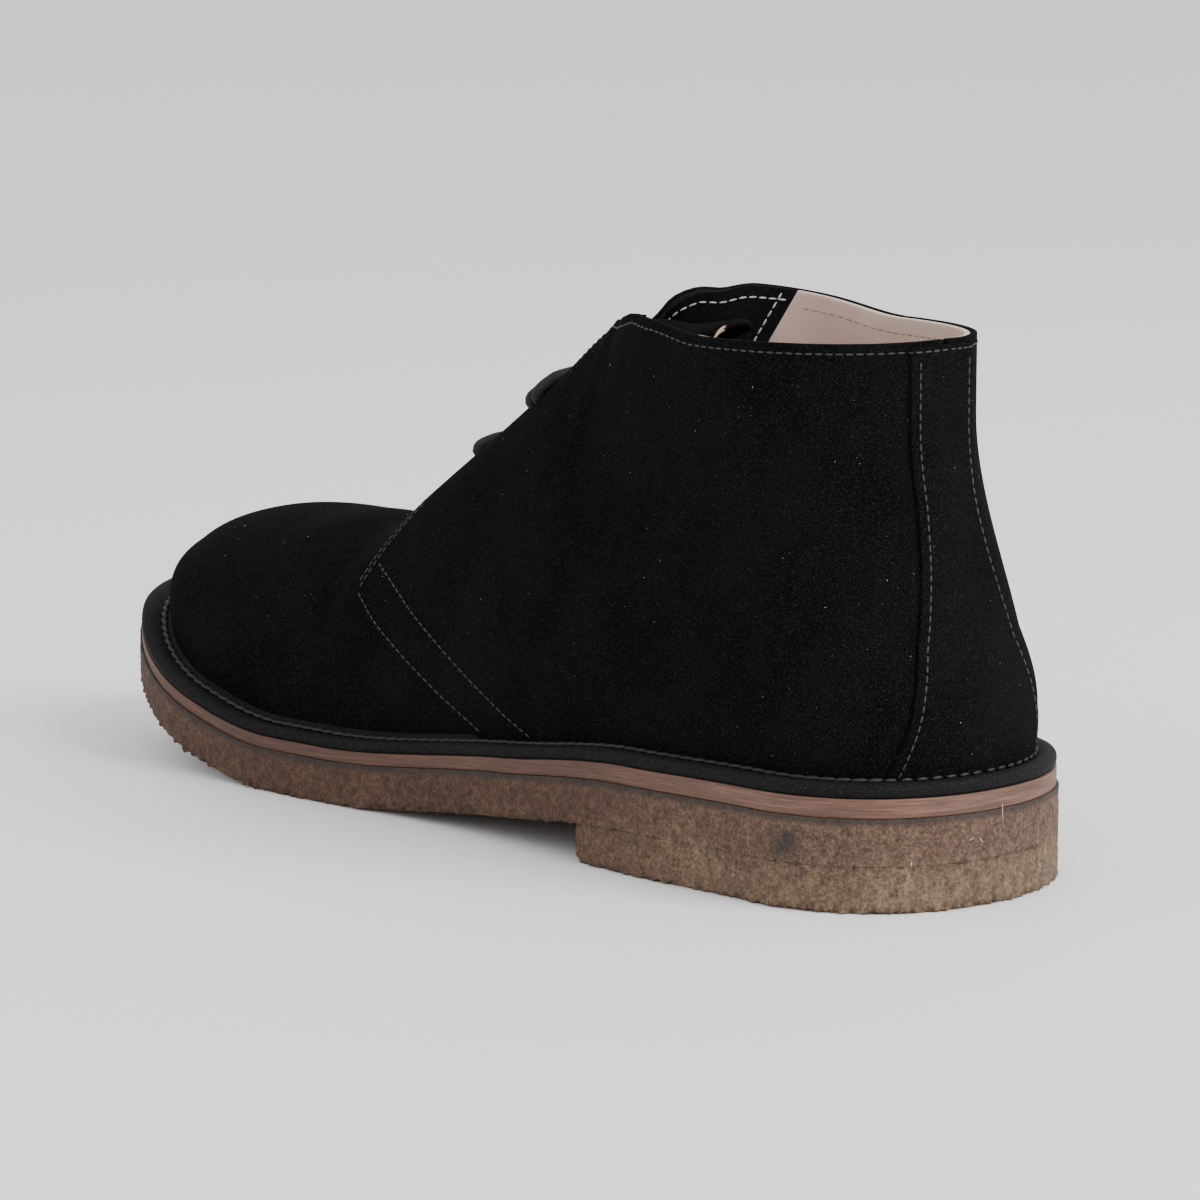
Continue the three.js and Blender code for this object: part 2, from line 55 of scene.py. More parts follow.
back = Vector((
    -math.sin(CAMERA_TURN) * math.cos(CAMERA_RISE),
    math.cos(CAMERA_TURN) * math.cos(CAMERA_RISE),
    math.sin(CAMERA_RISE),
))
right = Vector((-math.cos(CAMERA_TURN), -math.sin(CAMERA_TURN), 0))
upward = back.cross(right)
camera = bpy.data.objects.new("camera", bpy.data.cameras.new("camera"))
camera.data.lens = CAMERA_LENS
camera.location = CAMERA_TARGET + back * CAMERA_DISTANCE + right * CAMERA_ASIDE + upward * CAMERA_UP
camera.rotation_mode = "QUATERNION"
camera.rotation_quaternion = (right * AIM_ASIDE + upward * AIM_UP - back).to_track_quat("-Z", "Y")
bpy.context.scene.collection.objects.link(camera)
bpy.context.scene.camera = camera

# Outsole
# A sheet of plantation crepe, about 11 mm thick, cut to the outline of the midsole and cemented
# under it. Its cut edge is granular and ragged along the bottom.
MM = 0.001
LENGTH = 300
HEEL_RADIUS = 40
HEEL_HALF_WIDTH = 42.5
TOE_RADIUS = 60
TOE_AXIS = LENGTH - TOE_RADIUS
TOE_AXIS_Y = -8
HEEL_POWER = 2.15
TOE_POWER_OUTER = 1.92
TOE_POWER_INNER = 1.7
BREAST = 96
GAP = 0.35
JOINT = 0.06
MIDDLE_ALONG = 0.25
MIDDLE_ACROSS = 5.35
CREPE_THICKNESS = 11
SPRING_START = 209
SPRING_RISE = 30.8
SPRING_POWER = 1.7
TIP_START = 272
TIP_FALL = 6.5
OUTER = 1
INNER = -1
QUARTER_TURN = math.pi / 2

WIDTHS = [
    dict(at=40, outer=42.5, inner=42.5),
    dict(at=78, outer=44.6, inner=38.6),
    dict(at=112, outer=43.2, inner=36.6),
    dict(at=150, outer=41.9, inner=43),
    dict(at=190, outer=45.8, inner=55),
    dict(at=222, outer=47.7, inner=58.4),
    dict(at=240, outer=47.3, inner=57.5),
]
SOLE_HEIGHTS = [
    dict(at=0, top=26.5, midsole=4.5),
    dict(at=80, top=25.7, midsole=4.4),
    dict(at=125, top=20.6, midsole=3.6),
    dict(at=190, top=14.1, midsole=3.1),
    dict(at=300, top=14.1, midsole=3),
]
RIDGE = [
    dict(at=20, side=0),
    dict(at=110, side=0),
    dict(at=190, side=-3),
    dict(at=240, side=TOE_AXIS_Y),
]


def curve(rows, key, column, x, sloping=False):
    """Smooth curve through the rows of a table, level at both ends unless told otherwise."""
    last = len(rows) - 1
    place = min(max(x, rows[0][key]), rows[last][key])
    i = 0
    while i < last - 1 and place > rows[i + 1][key]:
        i += 1

    def secant(k):
        return (rows[k + 1][column] - rows[k][column]) / (rows[k + 1][key] - rows[k][key])

    def slope(k):
        if k in (0, last):
            return secant(min(k, last - 1)) if sloping else 0
        before = secant(k - 1)
        after = secant(k)
        return 0 if before * after <= 0 else 2 * before * after / (before + after)

    span = rows[i + 1][key] - rows[i][key]
    f = (place - rows[i][key]) / span
    start = rows[i][column] * (1 + 2 * f) * (1 - f) ** 2 + slope(i) * span * f * (1 - f) ** 2
    end = rows[i + 1][column] * f * f * (3 - 2 * f) - slope(i + 1) * span * f * f * (1 - f)
    return start + end


def smooth_step(low, high, x):
    f = min(max((x - low) / (high - low), 0), 1)
    return f * f * (3 - 2 * f)


def spring_rise(at):
    f = max(at - SPRING_START, 0) / (LENGTH - SPRING_START)
    tip = max(at - TIP_START, 0) / (LENGTH - TIP_START)
    return SPRING_RISE * f ** SPRING_POWER - TIP_FALL * tip * tip


def midsole_top(at):
    return curve(SOLE_HEIGHTS, "at", "top", at) + spring_rise(at)


def midsole_bottom(at):
    return midsole_top(at) - curve(SOLE_HEIGHTS, "at", "midsole", at)


def crepe_bottom(at):
    return max(midsole_bottom(at) - CREPE_THICKNESS, spring_rise(at))


def foot_of(turn):
    """How far a turn of the outline's long sides lies from the back of the heel."""
    return HEEL_RADIUS + (turn - 1) * (TOE_AXIS - HEEL_RADIUS)


def foot_turn(foot):
    return 1 + (foot - HEEL_RADIUS) / (TOE_AXIS - HEEL_RADIUS)


def round_end(half, share, power):
    return half * max(1 - share ** power, 0) ** (1 / power)


def outline_point(side, turn, inset):
    """Place and axis point of the sole outline: turn 0 to 1 heel, 1 to 2 long side, 2 to 3 toe."""
    column = "outer" if side == OUTER else "inner"
    if turn <= 1:
        share = max(math.cos(turn * QUARTER_TURN), 0) ** (2 / HEEL_POWER)
        y = side * round_end(HEEL_HALF_WIDTH - inset, share, HEEL_POWER)
        return HEEL_RADIUS - (HEEL_RADIUS - inset) * share, y, HEEL_RADIUS, 0
    if turn <= 2:
        at = foot_of(turn)
        y = side * (curve(WIDTHS, "at", column, at) - inset)
        return at, y, at, curve(RIDGE, "at", "side", at)
    power = TOE_POWER_OUTER if side == OUTER else TOE_POWER_INNER
    share = max(math.sin((turn - 2) * QUARTER_TURN), 0) ** (2 / TOE_POWER_OUTER)
    half = WIDTHS[-1][column] - side * TOE_AXIS_Y - inset
    y = TOE_AXIS_Y + side * round_end(half, share, power)
    return TOE_AXIS + (TOE_RADIUS - inset) * share, y, TOE_AXIS, TOE_AXIS_Y


def placed(at, y, z):
    """Millimetres from the back of the heel and its centre line, made metres from the origin."""
    return Vector((at - LENGTH / 2 + MIDDLE_ALONG, y + MIDDLE_ACROSS, z)) * MM


def at_of(place):
    return place.x / MM + LENGTH / 2 - MIDDLE_ALONG


INNER_SHARES = (0, 0.5, 0.85)
CORNER_STEPS = 3
HEEL_SHARE = 0.18
TOE_SHARE = 0.755


def loop_place(share):
    """Side and turn of a place on the way round: inner side first, from the heel's back."""
    side = INNER if share <= 0.5 else OUTER
    half = 2 * share if share <= 0.5 else 2 * (1 - share)
    if half < HEEL_SHARE:
        return side, half / HEEL_SHARE
    if half < TOE_SHARE:
        return side, 1 + (half - HEEL_SHARE) / (TOE_SHARE - HEEL_SHARE)
    return side, 2 + (half - TOE_SHARE) / (1 - TOE_SHARE)


def sole_loop(share, inset):
    side, turn = loop_place(share)
    return outline_point(side, turn, inset)


def slab(loop, columns, low, high, round_low, round_high, side_rows):
    """Closed slab inside an outline: over its top, down its rounded edge and under its bottom.

    Its corners keep how far they lie below the midsole, in metres.
    """
    corner = [i / CORNER_STEPS * QUARTER_TURN for i in range(CORNER_STEPS + 1)]
    profile = [("top", share, 0) for share in INNER_SHARES]
    profile += [("high", 1 - math.sin(angle), 1 - math.cos(angle)) for angle in corner]
    profile += [("side", i / side_rows, 0) for i in range(1, side_rows)]
    profile += [("low", 1 - math.cos(angle), 1 - math.sin(angle)) for angle in corner]
    profile += [("bottom", share, 0) for share in reversed(INNER_SHARES)]
    mesh = bmesh.new()
    bmesh.ops.create_grid(mesh, x_segments=columns, y_segments=len(profile) - 1, size=0.5)
    below = mesh.verts.layers.float.new("below")
    for vertex in mesh.verts:
        kind, first, second = profile[round((0.5 - vertex.co.y) * (len(profile) - 1))]
        share = vertex.co.x + 0.5
        near_low = round_low(loop(share, 0)[0])
        inset = {
            "top": round_high,
            "high": round_high * first,
            "side": 0,
            "low": near_low * first,
            "bottom": near_low,
        }[kind]
        at, y, axis_at, axis_y = loop(share, inset)
        if kind in ("top", "bottom"):
            at = axis_at + (at - axis_at) * first
            y = axis_y + (y - axis_y) * first
        top = high(at)
        bottom = low(at)
        z = {
            "top": top,
            "high": top - round_high * second,
            "side": top - round_high + (bottom + near_low - top + round_high) * first,
            "low": bottom + near_low * second,
            "bottom": bottom,
        }[kind]
        vertex.co = placed(at, y, z)
        vertex[below] = (midsole_bottom(at) - z) * MM
    bmesh.ops.remove_doubles(mesh, verts=mesh.verts, dist=1e-6)
    bmesh.ops.recalc_face_normals(mesh, faces=mesh.faces)
    mesh.normal_update()
    return mesh


CRUMB_SIZE = 1.5 * MM
CRUMB_RELIEF = 0.5 * MM
RAGGED_SIZE = 1.7 * MM
RAGGED_RELIEF = 1.25 * MM
RAGGED_HEIGHT = 2.4


def crumble(mesh, low):
    """Gives cut crepe its crumbs, coarser and more ragged towards the bottom edge."""
    moves = []
    for vertex in mesh.verts:
        place = vertex.co
        above = place.z / MM - low(at_of(place))
        flat = abs(vertex.normal.z) > 0.9
        crumbs = noise.voronoi(place / CRUMB_SIZE, distance_metric="DISTANCE", exponent=2.5)[0][0]
        ragged = noise.noise(place / RAGGED_SIZE) + 0.5 * noise.noise(place * 2.2 / RAGGED_SIZE)
        edge = 1 - smooth_step(0, RAGGED_HEIGHT, above)
        depth = CRUMB_RELIEF * (0.45 - crumbs)
        depth += RAGGED_RELIEF * edge * (ragged - 0.25)
        moves.append(vertex.normal * depth * (0.2 if flat else 1))
    for vertex, move in zip(mesh.verts, moves):
        vertex.co += move
        vertex.co.z = max(vertex.co.z, 0)
    mesh.normal_update()


def add_piece(name, mesh, *finishes):
    """A finished mesh becomes a smooth piece that goes with the shoe."""
    data = bpy.data.meshes.new(name)
    mesh.to_mesh(data)
    mesh.free()
    for finish in finishes:
        data.materials.append(finish)
    data.shade_smooth()
    piece = bpy.data.objects.new(name, data)
    bpy.context.scene.collection.objects.link(piece)
    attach(piece, "root")
    return piece


def new_finish(name, roughness):
    """An empty material with its nodes, its shader and its object coordinates."""
    finish = bpy.data.materials.new(name)
    finish.use_nodes = True
    tree = finish.node_tree
    shader = tree.nodes["Principled BSDF"]
    shader.inputs["Roughness"].default_value = roughness
    place = tree.nodes.new("ShaderNodeTexCoord")
    return finish, tree, shader, place.outputs["Object"]


def add_noise(tree, place, scale, detail, stretch=(1, 1, 1), roughness=0.55):
    """Noise at a scale per metre, optionally squeezed along the axes."""
    mapping = tree.nodes.new("ShaderNodeMapping")
    mapping.inputs["Scale"].default_value = stretch
    tree.links.new(place, mapping.inputs["Vector"])
    cloud = tree.nodes.new("ShaderNodeTexNoise")
    cloud.inputs["Scale"].default_value = scale
    cloud.inputs["Detail"].default_value = detail
    cloud.inputs["Roughness"].default_value = roughness
    tree.links.new(mapping.outputs["Vector"], cloud.inputs["Vector"])
    return cloud.outputs["Fac"]


def add_ramp(tree, value, stops):
    """Colour ramp from (position, colour) stops."""
    stops = list(stops)
    ramp = tree.nodes.new("ShaderNodeValToRGB")
    elements = ramp.color_ramp.elements
    while len(elements) < len(stops):
        elements.new(0.5)
    for element, (position, colour) in zip(elements, stops):
        element.position = position
        element.color = (*colour, 1)
    tree.links.new(value, ramp.inputs["Fac"])
    return ramp.outputs["Color"]


def add_mix(tree, share, first, second, blend="MIX"):
    """Mix of two colours, each a socket or three numbers, by a socket or a number."""
    mix = tree.nodes.new("ShaderNodeMix")
    mix.data_type = "RGBA"
    mix.blend_type = blend
    for socket, value in ((mix.inputs[0], share), (mix.inputs[6], first), (mix.inputs[7], second)):
        if isinstance(value, bpy.types.NodeSocket):
            tree.links.new(value, socket)
        elif isinstance(value, tuple):
            socket.default_value = (*value, 1)
        else:
            socket.default_value = value
    return mix.outputs[2]


def add_bump(tree, shader, height, strength, distance):
    bump = tree.nodes.new("ShaderNodeBump")
    bump.inputs["Strength"].default_value = strength
    bump.inputs["Distance"].default_value = distance
    tree.links.new(height, bump.inputs["Height"])
    tree.links.new(bump.outputs["Normal"], shader.inputs["Normal"])


def add_math(tree, operation, *values):
    """Math node; each value is a socket or a number."""
    node = tree.nodes.new("ShaderNodeMath")
    node.operation = operation
    for socket, value in zip(node.inputs, values):
        if isinstance(value, bpy.types.NodeSocket):
            tree.links.new(value, socket)
        else:
            socket.default_value = value
    return node.outputs[0]


def add_range(tree, value, low, high, start=0, end=1):
    """Value carried from one range to another and held at its ends."""
    node = tree.nodes.new("ShaderNodeMapRange")
    for socket, number in zip(list(node.inputs)[1:5], (low, high, start, end)):
        socket.default_value = number
    tree.links.new(value, node.inputs["Value"])
    return node.outputs["Result"]


def add_attribute(tree, name):
    node = tree.nodes.new("ShaderNodeAttribute")
    node.attribute_name = name
    return node.outputs["Fac"]


def painted_shade_to_toe(tree, place, colour):
    """Painted light and shade: the sole's edge is lighter at the heel and browner and darker from the breast
    forward, where less light falls.
    """
    split = tree.nodes.new("ShaderNodeSeparateXYZ")
    tree.links.new(place, split.inputs[0])
    share = add_range(tree, split.outputs["X"], *PAINTED_SHADE_SPAN, 1, 0)
    painted_light_and_shade = add_mix(tree, share, TOE_PAINTED_SHADE, HEEL_PAINTED_LIGHT)
    return add_mix(tree, 1.0, colour, painted_light_and_shade, "MULTIPLY")


def crepe_finish():
    """Granular crepe: browner above, greener below, with a dark line under the midsole that is partly its
    own dark edge and partly painted shade, and a smudge.
    """
    finish, tree, shader, place = new_finish("crepe", 0.8)
    below = add_attribute(tree, "below")
    grain = add_noise(tree, place, 1300, 5, roughness=0.75)
    coarse = add_noise(tree, place, 420, 3, roughness=0.6)
    patches = add_noise(tree, place, 45, 3)
    crumbs = add_math(tree, "MULTIPLY_ADD", coarse, 0.35, add_math(tree, "MULTIPLY", grain, 0.65))
    brown = add_ramp(tree, crumbs, zip(CRUMB_STOPS, CREPE_BROWN))
    green = add_ramp(tree, crumbs, zip(CRUMB_STOPS, CREPE_GREEN))
    wavy = add_math(tree, "MULTIPLY_ADD", patches, 0.012, below)
    colour = add_mix(tree, add_range(tree, wavy, *GREEN_FROM), brown, green)
    shade = add_ramp(tree, patches, [(0.32, (0.84, 0.8, 0.78)), (0.66, (1.05, 1.04, 1))])
    colour = add_mix(tree, 1.0, colour, shade, "MULTIPLY")
    # Painted shade: the crepe's edge darkens towards the toe, with painted light at the heel.
    colour = painted_shade_to_toe(tree, place, colour)
    # Dark line just under the midsole: partly the crepe's own dark line at the joint, partly painted shade.
    rough_line = add_math(tree, "MULTIPLY_ADD", coarse, -0.0012, below)
    joint_line_and_shade = add_range(tree, rough_line, *JOINT_LINE_AND_SHADE_DEPTH, 0.7, 0)
    colour = add_mix(tree, joint_line_and_shade, colour, SHADE_AND_SMUDGE)
    split = tree.nodes.new("ShaderNodeVectorMath")
    split.operation = "DISTANCE"
    tree.links.new(place, split.inputs[0])
    split.inputs[1].default_value = placed(*SMUDGE_PLACE)
    smudge = add_math(tree, "MULTIPLY_ADD", grain, 0.006, split.outputs["Value"])
    colour = add_mix(tree, add_range(tree, smudge, *SMUDGE_REACH, 0.8, 0), colour, SHADE_AND_SMUDGE)
    tree.links.new(colour, shader.inputs["Base Color"])
    add_bump(tree, shader, crumbs, 1, 0.0013)
    return finish


# Painted light and shade on the sole's edge: where along the shoe it fades, the heel's lighter tint and the
# toe's darker, browner tint.
PAINTED_SHADE_SPAN = (-0.105, -0.055)
HEEL_PAINTED_LIGHT = (1.2, 1.08, 1.05)
TOE_PAINTED_SHADE = (0.78, 0.59, 0.5)
CREPE_BROWN = ((0.03, 0.016, 0.01), (0.11, 0.071, 0.047), (0.25, 0.175, 0.12))
CREPE_GREEN = ((0.045, 0.028, 0.015), (0.145, 0.105, 0.066), (0.3, 0.23, 0.155))
CRUMB_STOPS = (0.36, 0.5, 0.66)
GREEN_FROM = (0.013, 0.021)
# Colour of the dark line under the midsole, partly painted shade, and of the real smudge; then how far under
# the midsole that line reaches, in metres.
SHADE_AND_SMUDGE = (0.022, 0.017, 0.015)
JOINT_LINE_AND_SHADE_DEPTH = (0.0002, 0.0014)
SMUDGE_REACH = (0.0035, 0.0085)
SMUDGE_PLACE = (28.7, 41, 15.5)
CREPE_ROUNDING = 0.8
LIFT_JOINT_ROUNDING = 0.08
crepe = crepe_finish()
mesh = slab(
    sole_loop,
    columns=1100,
    low=crepe_bottom,
    high=lambda at: midsole_bottom(at) - JOINT,
    round_low=lambda at: CREPE_ROUNDING if at > BREAST else LIFT_JOINT_ROUNDING,
    round_high=0.2,
    side_rows=12,
)
crumble(mesh, lambda at: crepe_bottom(at) if at > BREAST else 0)
outsole = add_piece("crepe_outsole", mesh, crepe)
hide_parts("outsole")

# Heel lift
# A second, shorter piece of crepe under the heel, ground level on the floor. Its front is cut
# square across the shoe.
BREAST_SHARE = 0.14


def lift_loop(share, inset):
    """Round the heel by the inner side, across the breast and back by the outer side."""
    half = share if share <= 0.5 else 1 - share
    side = INNER if share <= 0.5 else OUTER
    side_share = 0.5 - BREAST_SHARE / 2
    last_turn = foot_turn(BREAST)
    if half <= side_share:
        along = half / side_share * last_turn
        at, y, axis_at, axis_y = outline_point(side, along, inset)
        return min(at, BREAST - inset), y, min(axis_at, BREAST / 2), 0
    corner = outline_point(side, last_turn, inset)[1]
    middle = (outline_point(OUTER, last_turn, inset)[1] + outline_point(INNER, last_turn, inset)[1]) / 2
    y = corner + (middle - corner) * (half - side_share) / (0.5 - side_share)
    return BREAST - inset, y, BREAST / 2, 0


mesh = slab(
    lift_loop,
    columns=600,
    low=lambda at: 0,
    high=lambda at: crepe_bottom(at) - JOINT,
    round_low=lambda at: 1,
    round_high=LIFT_JOINT_ROUNDING,
    side_rows=12,
)
crumble(mesh, lambda at: 0)
heel_lift = add_piece("crepe_heel_lift", mesh, crepe)
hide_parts("heel_lift")

# Midsole
# A strip of natural tan leather between the crepe and the suede, 4.5 mm thick at the heel and
# 3 mm at the toe. Its trimmed edge shows fine streaks along the sole.
EDGE_SETBACK = 0.5


def leather_edge_finish():
    """Trimmed leather: streaks that follow the edge."""
    finish, tree, shader, place = new_finish("midsole_leather", 0.62)
    below = add_attribute(tree, "below")
    split = tree.nodes.new("ShaderNodeSeparateXYZ")
    tree.links.new(place, split.inputs[0])
    along = tree.nodes.new("ShaderNodeCombineXYZ")
    tree.links.new(split.outputs["X"], along.inputs["X"])
    tree.links.new(split.outputs["Y"], along.inputs["Y"])
    tree.links.new(below, along.inputs["Z"])
    streaks = add_noise(tree, along.outputs[0], 520, 6, stretch=(0.12, 0.12, 3.2), roughness=0.78)
    patches = add_noise(tree, place, 40, 3)
    colour = add_ramp(tree, streaks, [(0.32, TAN[0]), (0.52, TAN[1]), (0.7, TAN[2])])
    shade = add_ramp(tree, patches, [(0.3, (0.8, 0.76, 0.74)), (0.65, (1.05, 1.03, 1))])
    colour = add_mix(tree, 1.0, colour, shade, "MULTIPLY")
    # Painted shade: the midsole's edge darkens towards the toe, with painted light at the heel.
    colour = painted_shade_to_toe(tree, place, colour)
    tree.links.new(colour, shader.inputs["Base Color"])
    add_bump(tree, shader, streaks, 0.5, 0.0003)
    return finish


TAN = ((0.05, 0.025, 0.0165), (0.118, 0.064, 0.044), (0.2, 0.12, 0.086))
midsole_leather = leather_edge_finish()
mesh = slab(
    lambda share, inset: sole_loop(share, inset + EDGE_SETBACK),
    columns=440,
    low=midsole_bottom,
    high=lambda at: midsole_top(at) - JOINT,
    round_low=lambda at: 0.2,
    round_high=0.25,
    side_rows=5,
)
midsole = add_piece("leather_midsole", mesh, midsole_leather)
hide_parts("midsole")

# Insole
# A pale, smooth leather sock on a firm board. It lies on the midsole inside the upper, with a
# narrow gap all round.
FLANGE_WIDTH = 6.7
FLANGE_WIDTH_AT_TOE = 8.4
FLANGE_WIDER_FROM = 1.7
WALL = 3
INSOLE_THICKNESS = 2.6


def flange_width(turn):
    return FLANGE_WIDTH + (FLANGE_WIDTH_AT_TOE - FLANGE_WIDTH) * smooth_step(FLANGE_WIDER_FROM, 3, turn)


def insole_top(at):
    return midsole_top(at) + INSOLE_THICKNESS


def insole_loop(share, inset):
    side, turn = loop_place(share)
    return outline_point(side, turn, inset + flange_width(turn) + WALL + 2 * GAP)


def two_tone_finish(name, roughness, dark, light, cloud, relief=None, strength=0):
    """Two tones clouded into each other, with fine pores or threads in relief where given.

    The cloud and the relief are each a noise: its scale per metre and its detail.
    """
    finish, tree, shader, place = new_finish(name, roughness)
    colour = add_ramp(tree, add_noise(tree, place, *cloud), [(0.3, dark), (0.7, light)])
    tree.links.new(colour, shader.inputs["Base Color"])
    if relief:
        add_bump(tree, shader, add_noise(tree, place, *relief), strength, RELIEF_DEPTH)
    return finish


RELIEF_DEPTH = 0.0002
lining_leather = two_tone_finish(
    "lining_leather", 0.48, (0.52, 0.37, 0.3), (0.68, 0.53, 0.45), (35, 4), (1500, 3), 0.25
)
mesh = slab(
    insole_loop,
    columns=240,
    low=midsole_top,
    high=insole_top,
    round_low=lambda at: 0.3,
    round_high=0.8,
    side_rows=3,
)
insole = add_piece("leather_insole", mesh, lining_leather)
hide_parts("insole")

# Vamp
# One piece of black suede from the toe back under the quarters. Its surface lies 1.1 mm below
# theirs, it is lasted over the toe, and it has broken in a soft trough across the ball.
QUARTER_STEP = 1.1
COLLAR_BACK = 19.5
COLLAR_MIDDLE = 64.5
COLLAR_HALF_WIDTH = 33
COLLAR_BACK_RISE = 0.8
INNER_ANKLE_RISE = 3.5
INNER_ANKLE = (60, 115, 122, 150)
INNER_CORNER_RISE = 1.9
OUTER_CORNER_DROP = 2
OUTER_THROAT_WIDER = 3.2
INNER_CORNER = (109, 115, 116, 123)
OUTER_CORNER = (95, 106, 108, 118)
OUTER_THROAT = (112, 118, 118, 180)
SIDE_BULGE = 1.8
BULGE_HEIGHT = 0.32
LEAN_START = 0.12
LEAN_END = 0.82
TOE_SHOULDER = 3.4
TOP_ROUNDING = 2.05
VAMP_COLUMNS = 300
VAMP_ROWS = 84
VAMP_THICKNESS = 1.6
VAMP_LAP = 0.06
SLIT_LOW = 0.8
HALVINGS = 22

TOP_LINE = [
    dict(foot=40, at=64.5, height=126.5, half=33),
    dict(foot=75, at=85, height=128.4, half=30),
    dict(foot=103, at=103, height=129, half=22),
    dict(foot=118, at=113, height=126.2, half=14),
    dict(foot=127, at=119.5, height=122.8, half=7),
    dict(foot=146, at=137, height=109.6, half=6),
    dict(foot=175, at=168, height=88, half=4.6),
    dict(foot=190, at=184, height=76.5, half=3.2),
    dict(foot=197, at=193, height=71.2, half=1.6),
    dict(foot=203, at=201, height=68.6, half=0),
    dict(foot=222, at=222, height=65, half=0),
    dict(foot=240, at=240, height=64.8, half=0),
]
SECTIONS = [
    dict(foot=40, shaft=1, shoulder=2.3),
    dict(foot=72, shaft=0.92, shoulder=2.3),
    dict(foot=100, shaft=0.62, shoulder=2.3),
    dict(foot=127, shaft=0.25, shoulder=2.3),
    dict(foot=160, shaft=0.08, shoulder=2.3),
    dict(foot=204, shaft=0, shoulder=2.4),
    dict(foot=240, shaft=0, shoulder=2.5),
]
QUARTER_EDGE = [
    (176, 140), (176, 82), (179.4, 76), (182.6, 71.5), (185.4, 67), (188, 62.2), (190.1, 57.5),
    (191.4, 54.5), (191.6, 53), (190, 50.5), (184, 47), (172, 40.5), (154, 29.5), (138, 21.5),
    (116, 10),
]
CREASES = [
    dict(start=(219, 66), end=(211, 60), depth=1.7, width=5.5),
    dict(start=(211, 60), end=(204, 50), depth=1.5, width=5.5),
    dict(start=(204, 50), end=(204, 38), depth=0.7, width=5),
    dict(start=(229, 58), end=(222, 42), depth=-0.6, width=7),
    dict(start=(243, 54), end=(236, 40), depth=0.3, width=6),
    dict(start=(212, 40), end=(222, 28), depth=-0.4, width=7),
]


def hump(x, start, full, fade, end):
    return smooth_step(start, full, x) * (1 - smooth_step(fade, end, x))


def top_point(side, turn):
    """Upper end of the rib that starts at the same turn of the outline."""
    if turn <= 1:
        angle = turn * QUARTER_TURN
        at = COLLAR_MIDDLE - (COLLAR_MIDDLE - COLLAR_BACK) * math.cos(angle)
        lift = COLLAR_BACK_RISE * (1 - math.sin(angle))
        return at, side * COLLAR_HALF_WIDTH * math.sin(angle), TOP_LINE[0]["height"] + lift
    foot = foot_of(min(turn, 2))
    at = curve(TOP_LINE, "foot", "at", foot, True)
    half = curve(TOP_LINE, "foot", "half", foot)
    if side == INNER:
        lift = INNER_ANKLE_RISE * hump(at, *INNER_ANKLE)
        lift += INNER_CORNER_RISE * hump(at, *INNER_CORNER)
    else:
        lift = -OUTER_CORNER_DROP * hump(at, *OUTER_CORNER)
        half += OUTER_THROAT_WIDER * hump(at, *OUTER_THROAT)
    y = curve(RIDGE, "at", "side", at) + side * half
    return at, y, curve(TOP_LINE, "foot", "height", foot) + lift


@lru_cache(maxsize=None)
def rib(side, turn):
    """What a rib of the wall needs: its two ends, its axis and the shape of its section."""
    foot = outline_point(side, turn, flange_width(turn))
    along = foot_of(min(max(turn, 1), 2))
    shaft = curve(SECTIONS, "foot", "shaft", along)
    shoulder = curve(SECTIONS, "foot", "shoulder", along)
    shoulder += (TOE_SHOULDER - shoulder) * math.sin(max(turn - 2, 0) * QUARTER_TURN) ** 2
    return foot, top_point(side, turn), shaft, shoulder, midsole_top(foot[0])


def wall(side, turn, rise):
    """Place on the outer face, in millimetres: rise 0 at the feather edge, 1 at the top line."""
    (at, y, axis_at, axis_y), top, shaft, shoulder, base = rib(side, turn)
    angle = rise * QUARTER_TURN
    arch_in = 1 - max(math.cos(angle), 0) ** (2 / TOP_ROUNDING)
    arch_up = math.sin(angle) ** (2 / shoulder)
    inward = shaft * smooth_step(LEAN_START, LEAN_END, rise) + (1 - shaft) * arch_in
    height = shaft * rise + (1 - shaft) * arch_up
    swell = SIDE_BULGE * math.sin(math.pi * min(rise / BULGE_HEIGHT, 1))
    grow = swell / math.hypot(at - axis_at, y - axis_y)
    return Vector((
        at + (top[0] - at) * inward + (at - axis_at) * grow,
        y + (top[1] - y) * inward + (y - axis_y) * grow,
        base + (top[2] - base) * height,
    ))


def edge_at(z):
    """How far forward the quarters reach at a height."""
    for (at_high, high), (at_low, low) in zip(QUARTER_EDGE, QUARTER_EDGE[1:]):
        if z >= low:
            share = (z - low) / (high - low)
            return at_low + (at_high - at_low) * min(share, 1)
    return QUARTER_EDGE[-1][0]


def find_turn(side, rise, low, high, behind):
    """Turn where a level line of the wall crosses a border, by halving the span between two."""
    for _ in range(HALVINGS):
        middle = (low + high) / 2
        if behind(wall(side, middle, rise)):
            low = middle
        else:
            high = middle
    return low


@lru_cache(maxsize=None)
def front_turn(side, rise):
    """Turn where a level line of the wall meets the quarters' front edge."""
    return find_turn(side, rise, 1.2, 1.95, lambda place: place.x < edge_at(place.z))


def leather_sheet(columns, rows, place, flip=False):
    """Open sheet from a grid whose corners are places of the wall in millimetres."""
    mesh = bmesh.new()
    bmesh.ops.create_grid(mesh, x_segments=columns, y_segments=rows, size=0.5)
    for vertex in mesh.verts:
        vertex.co = placed(*place(vertex.co.x + 0.5, vertex.co.y + 0.5))
    bmesh.ops.remove_doubles(mesh, verts=mesh.verts, dist=2e-6)
    if flip:
        bmesh.ops.reverse_faces(mesh, faces=mesh.faces)
    mesh.normal_update()
    return mesh


def push_out(mesh, distance):
    """Moves a sheet along its normals, by millimetres or by a function of the place."""
    moves = []
    for vertex in mesh.verts:
        amount = distance(vertex.co) if callable(distance) else distance
        moves.append(vertex.normal * amount * MM)
    for vertex, move in zip(mesh.verts, moves):
        vertex.co += move
    mesh.normal_update()


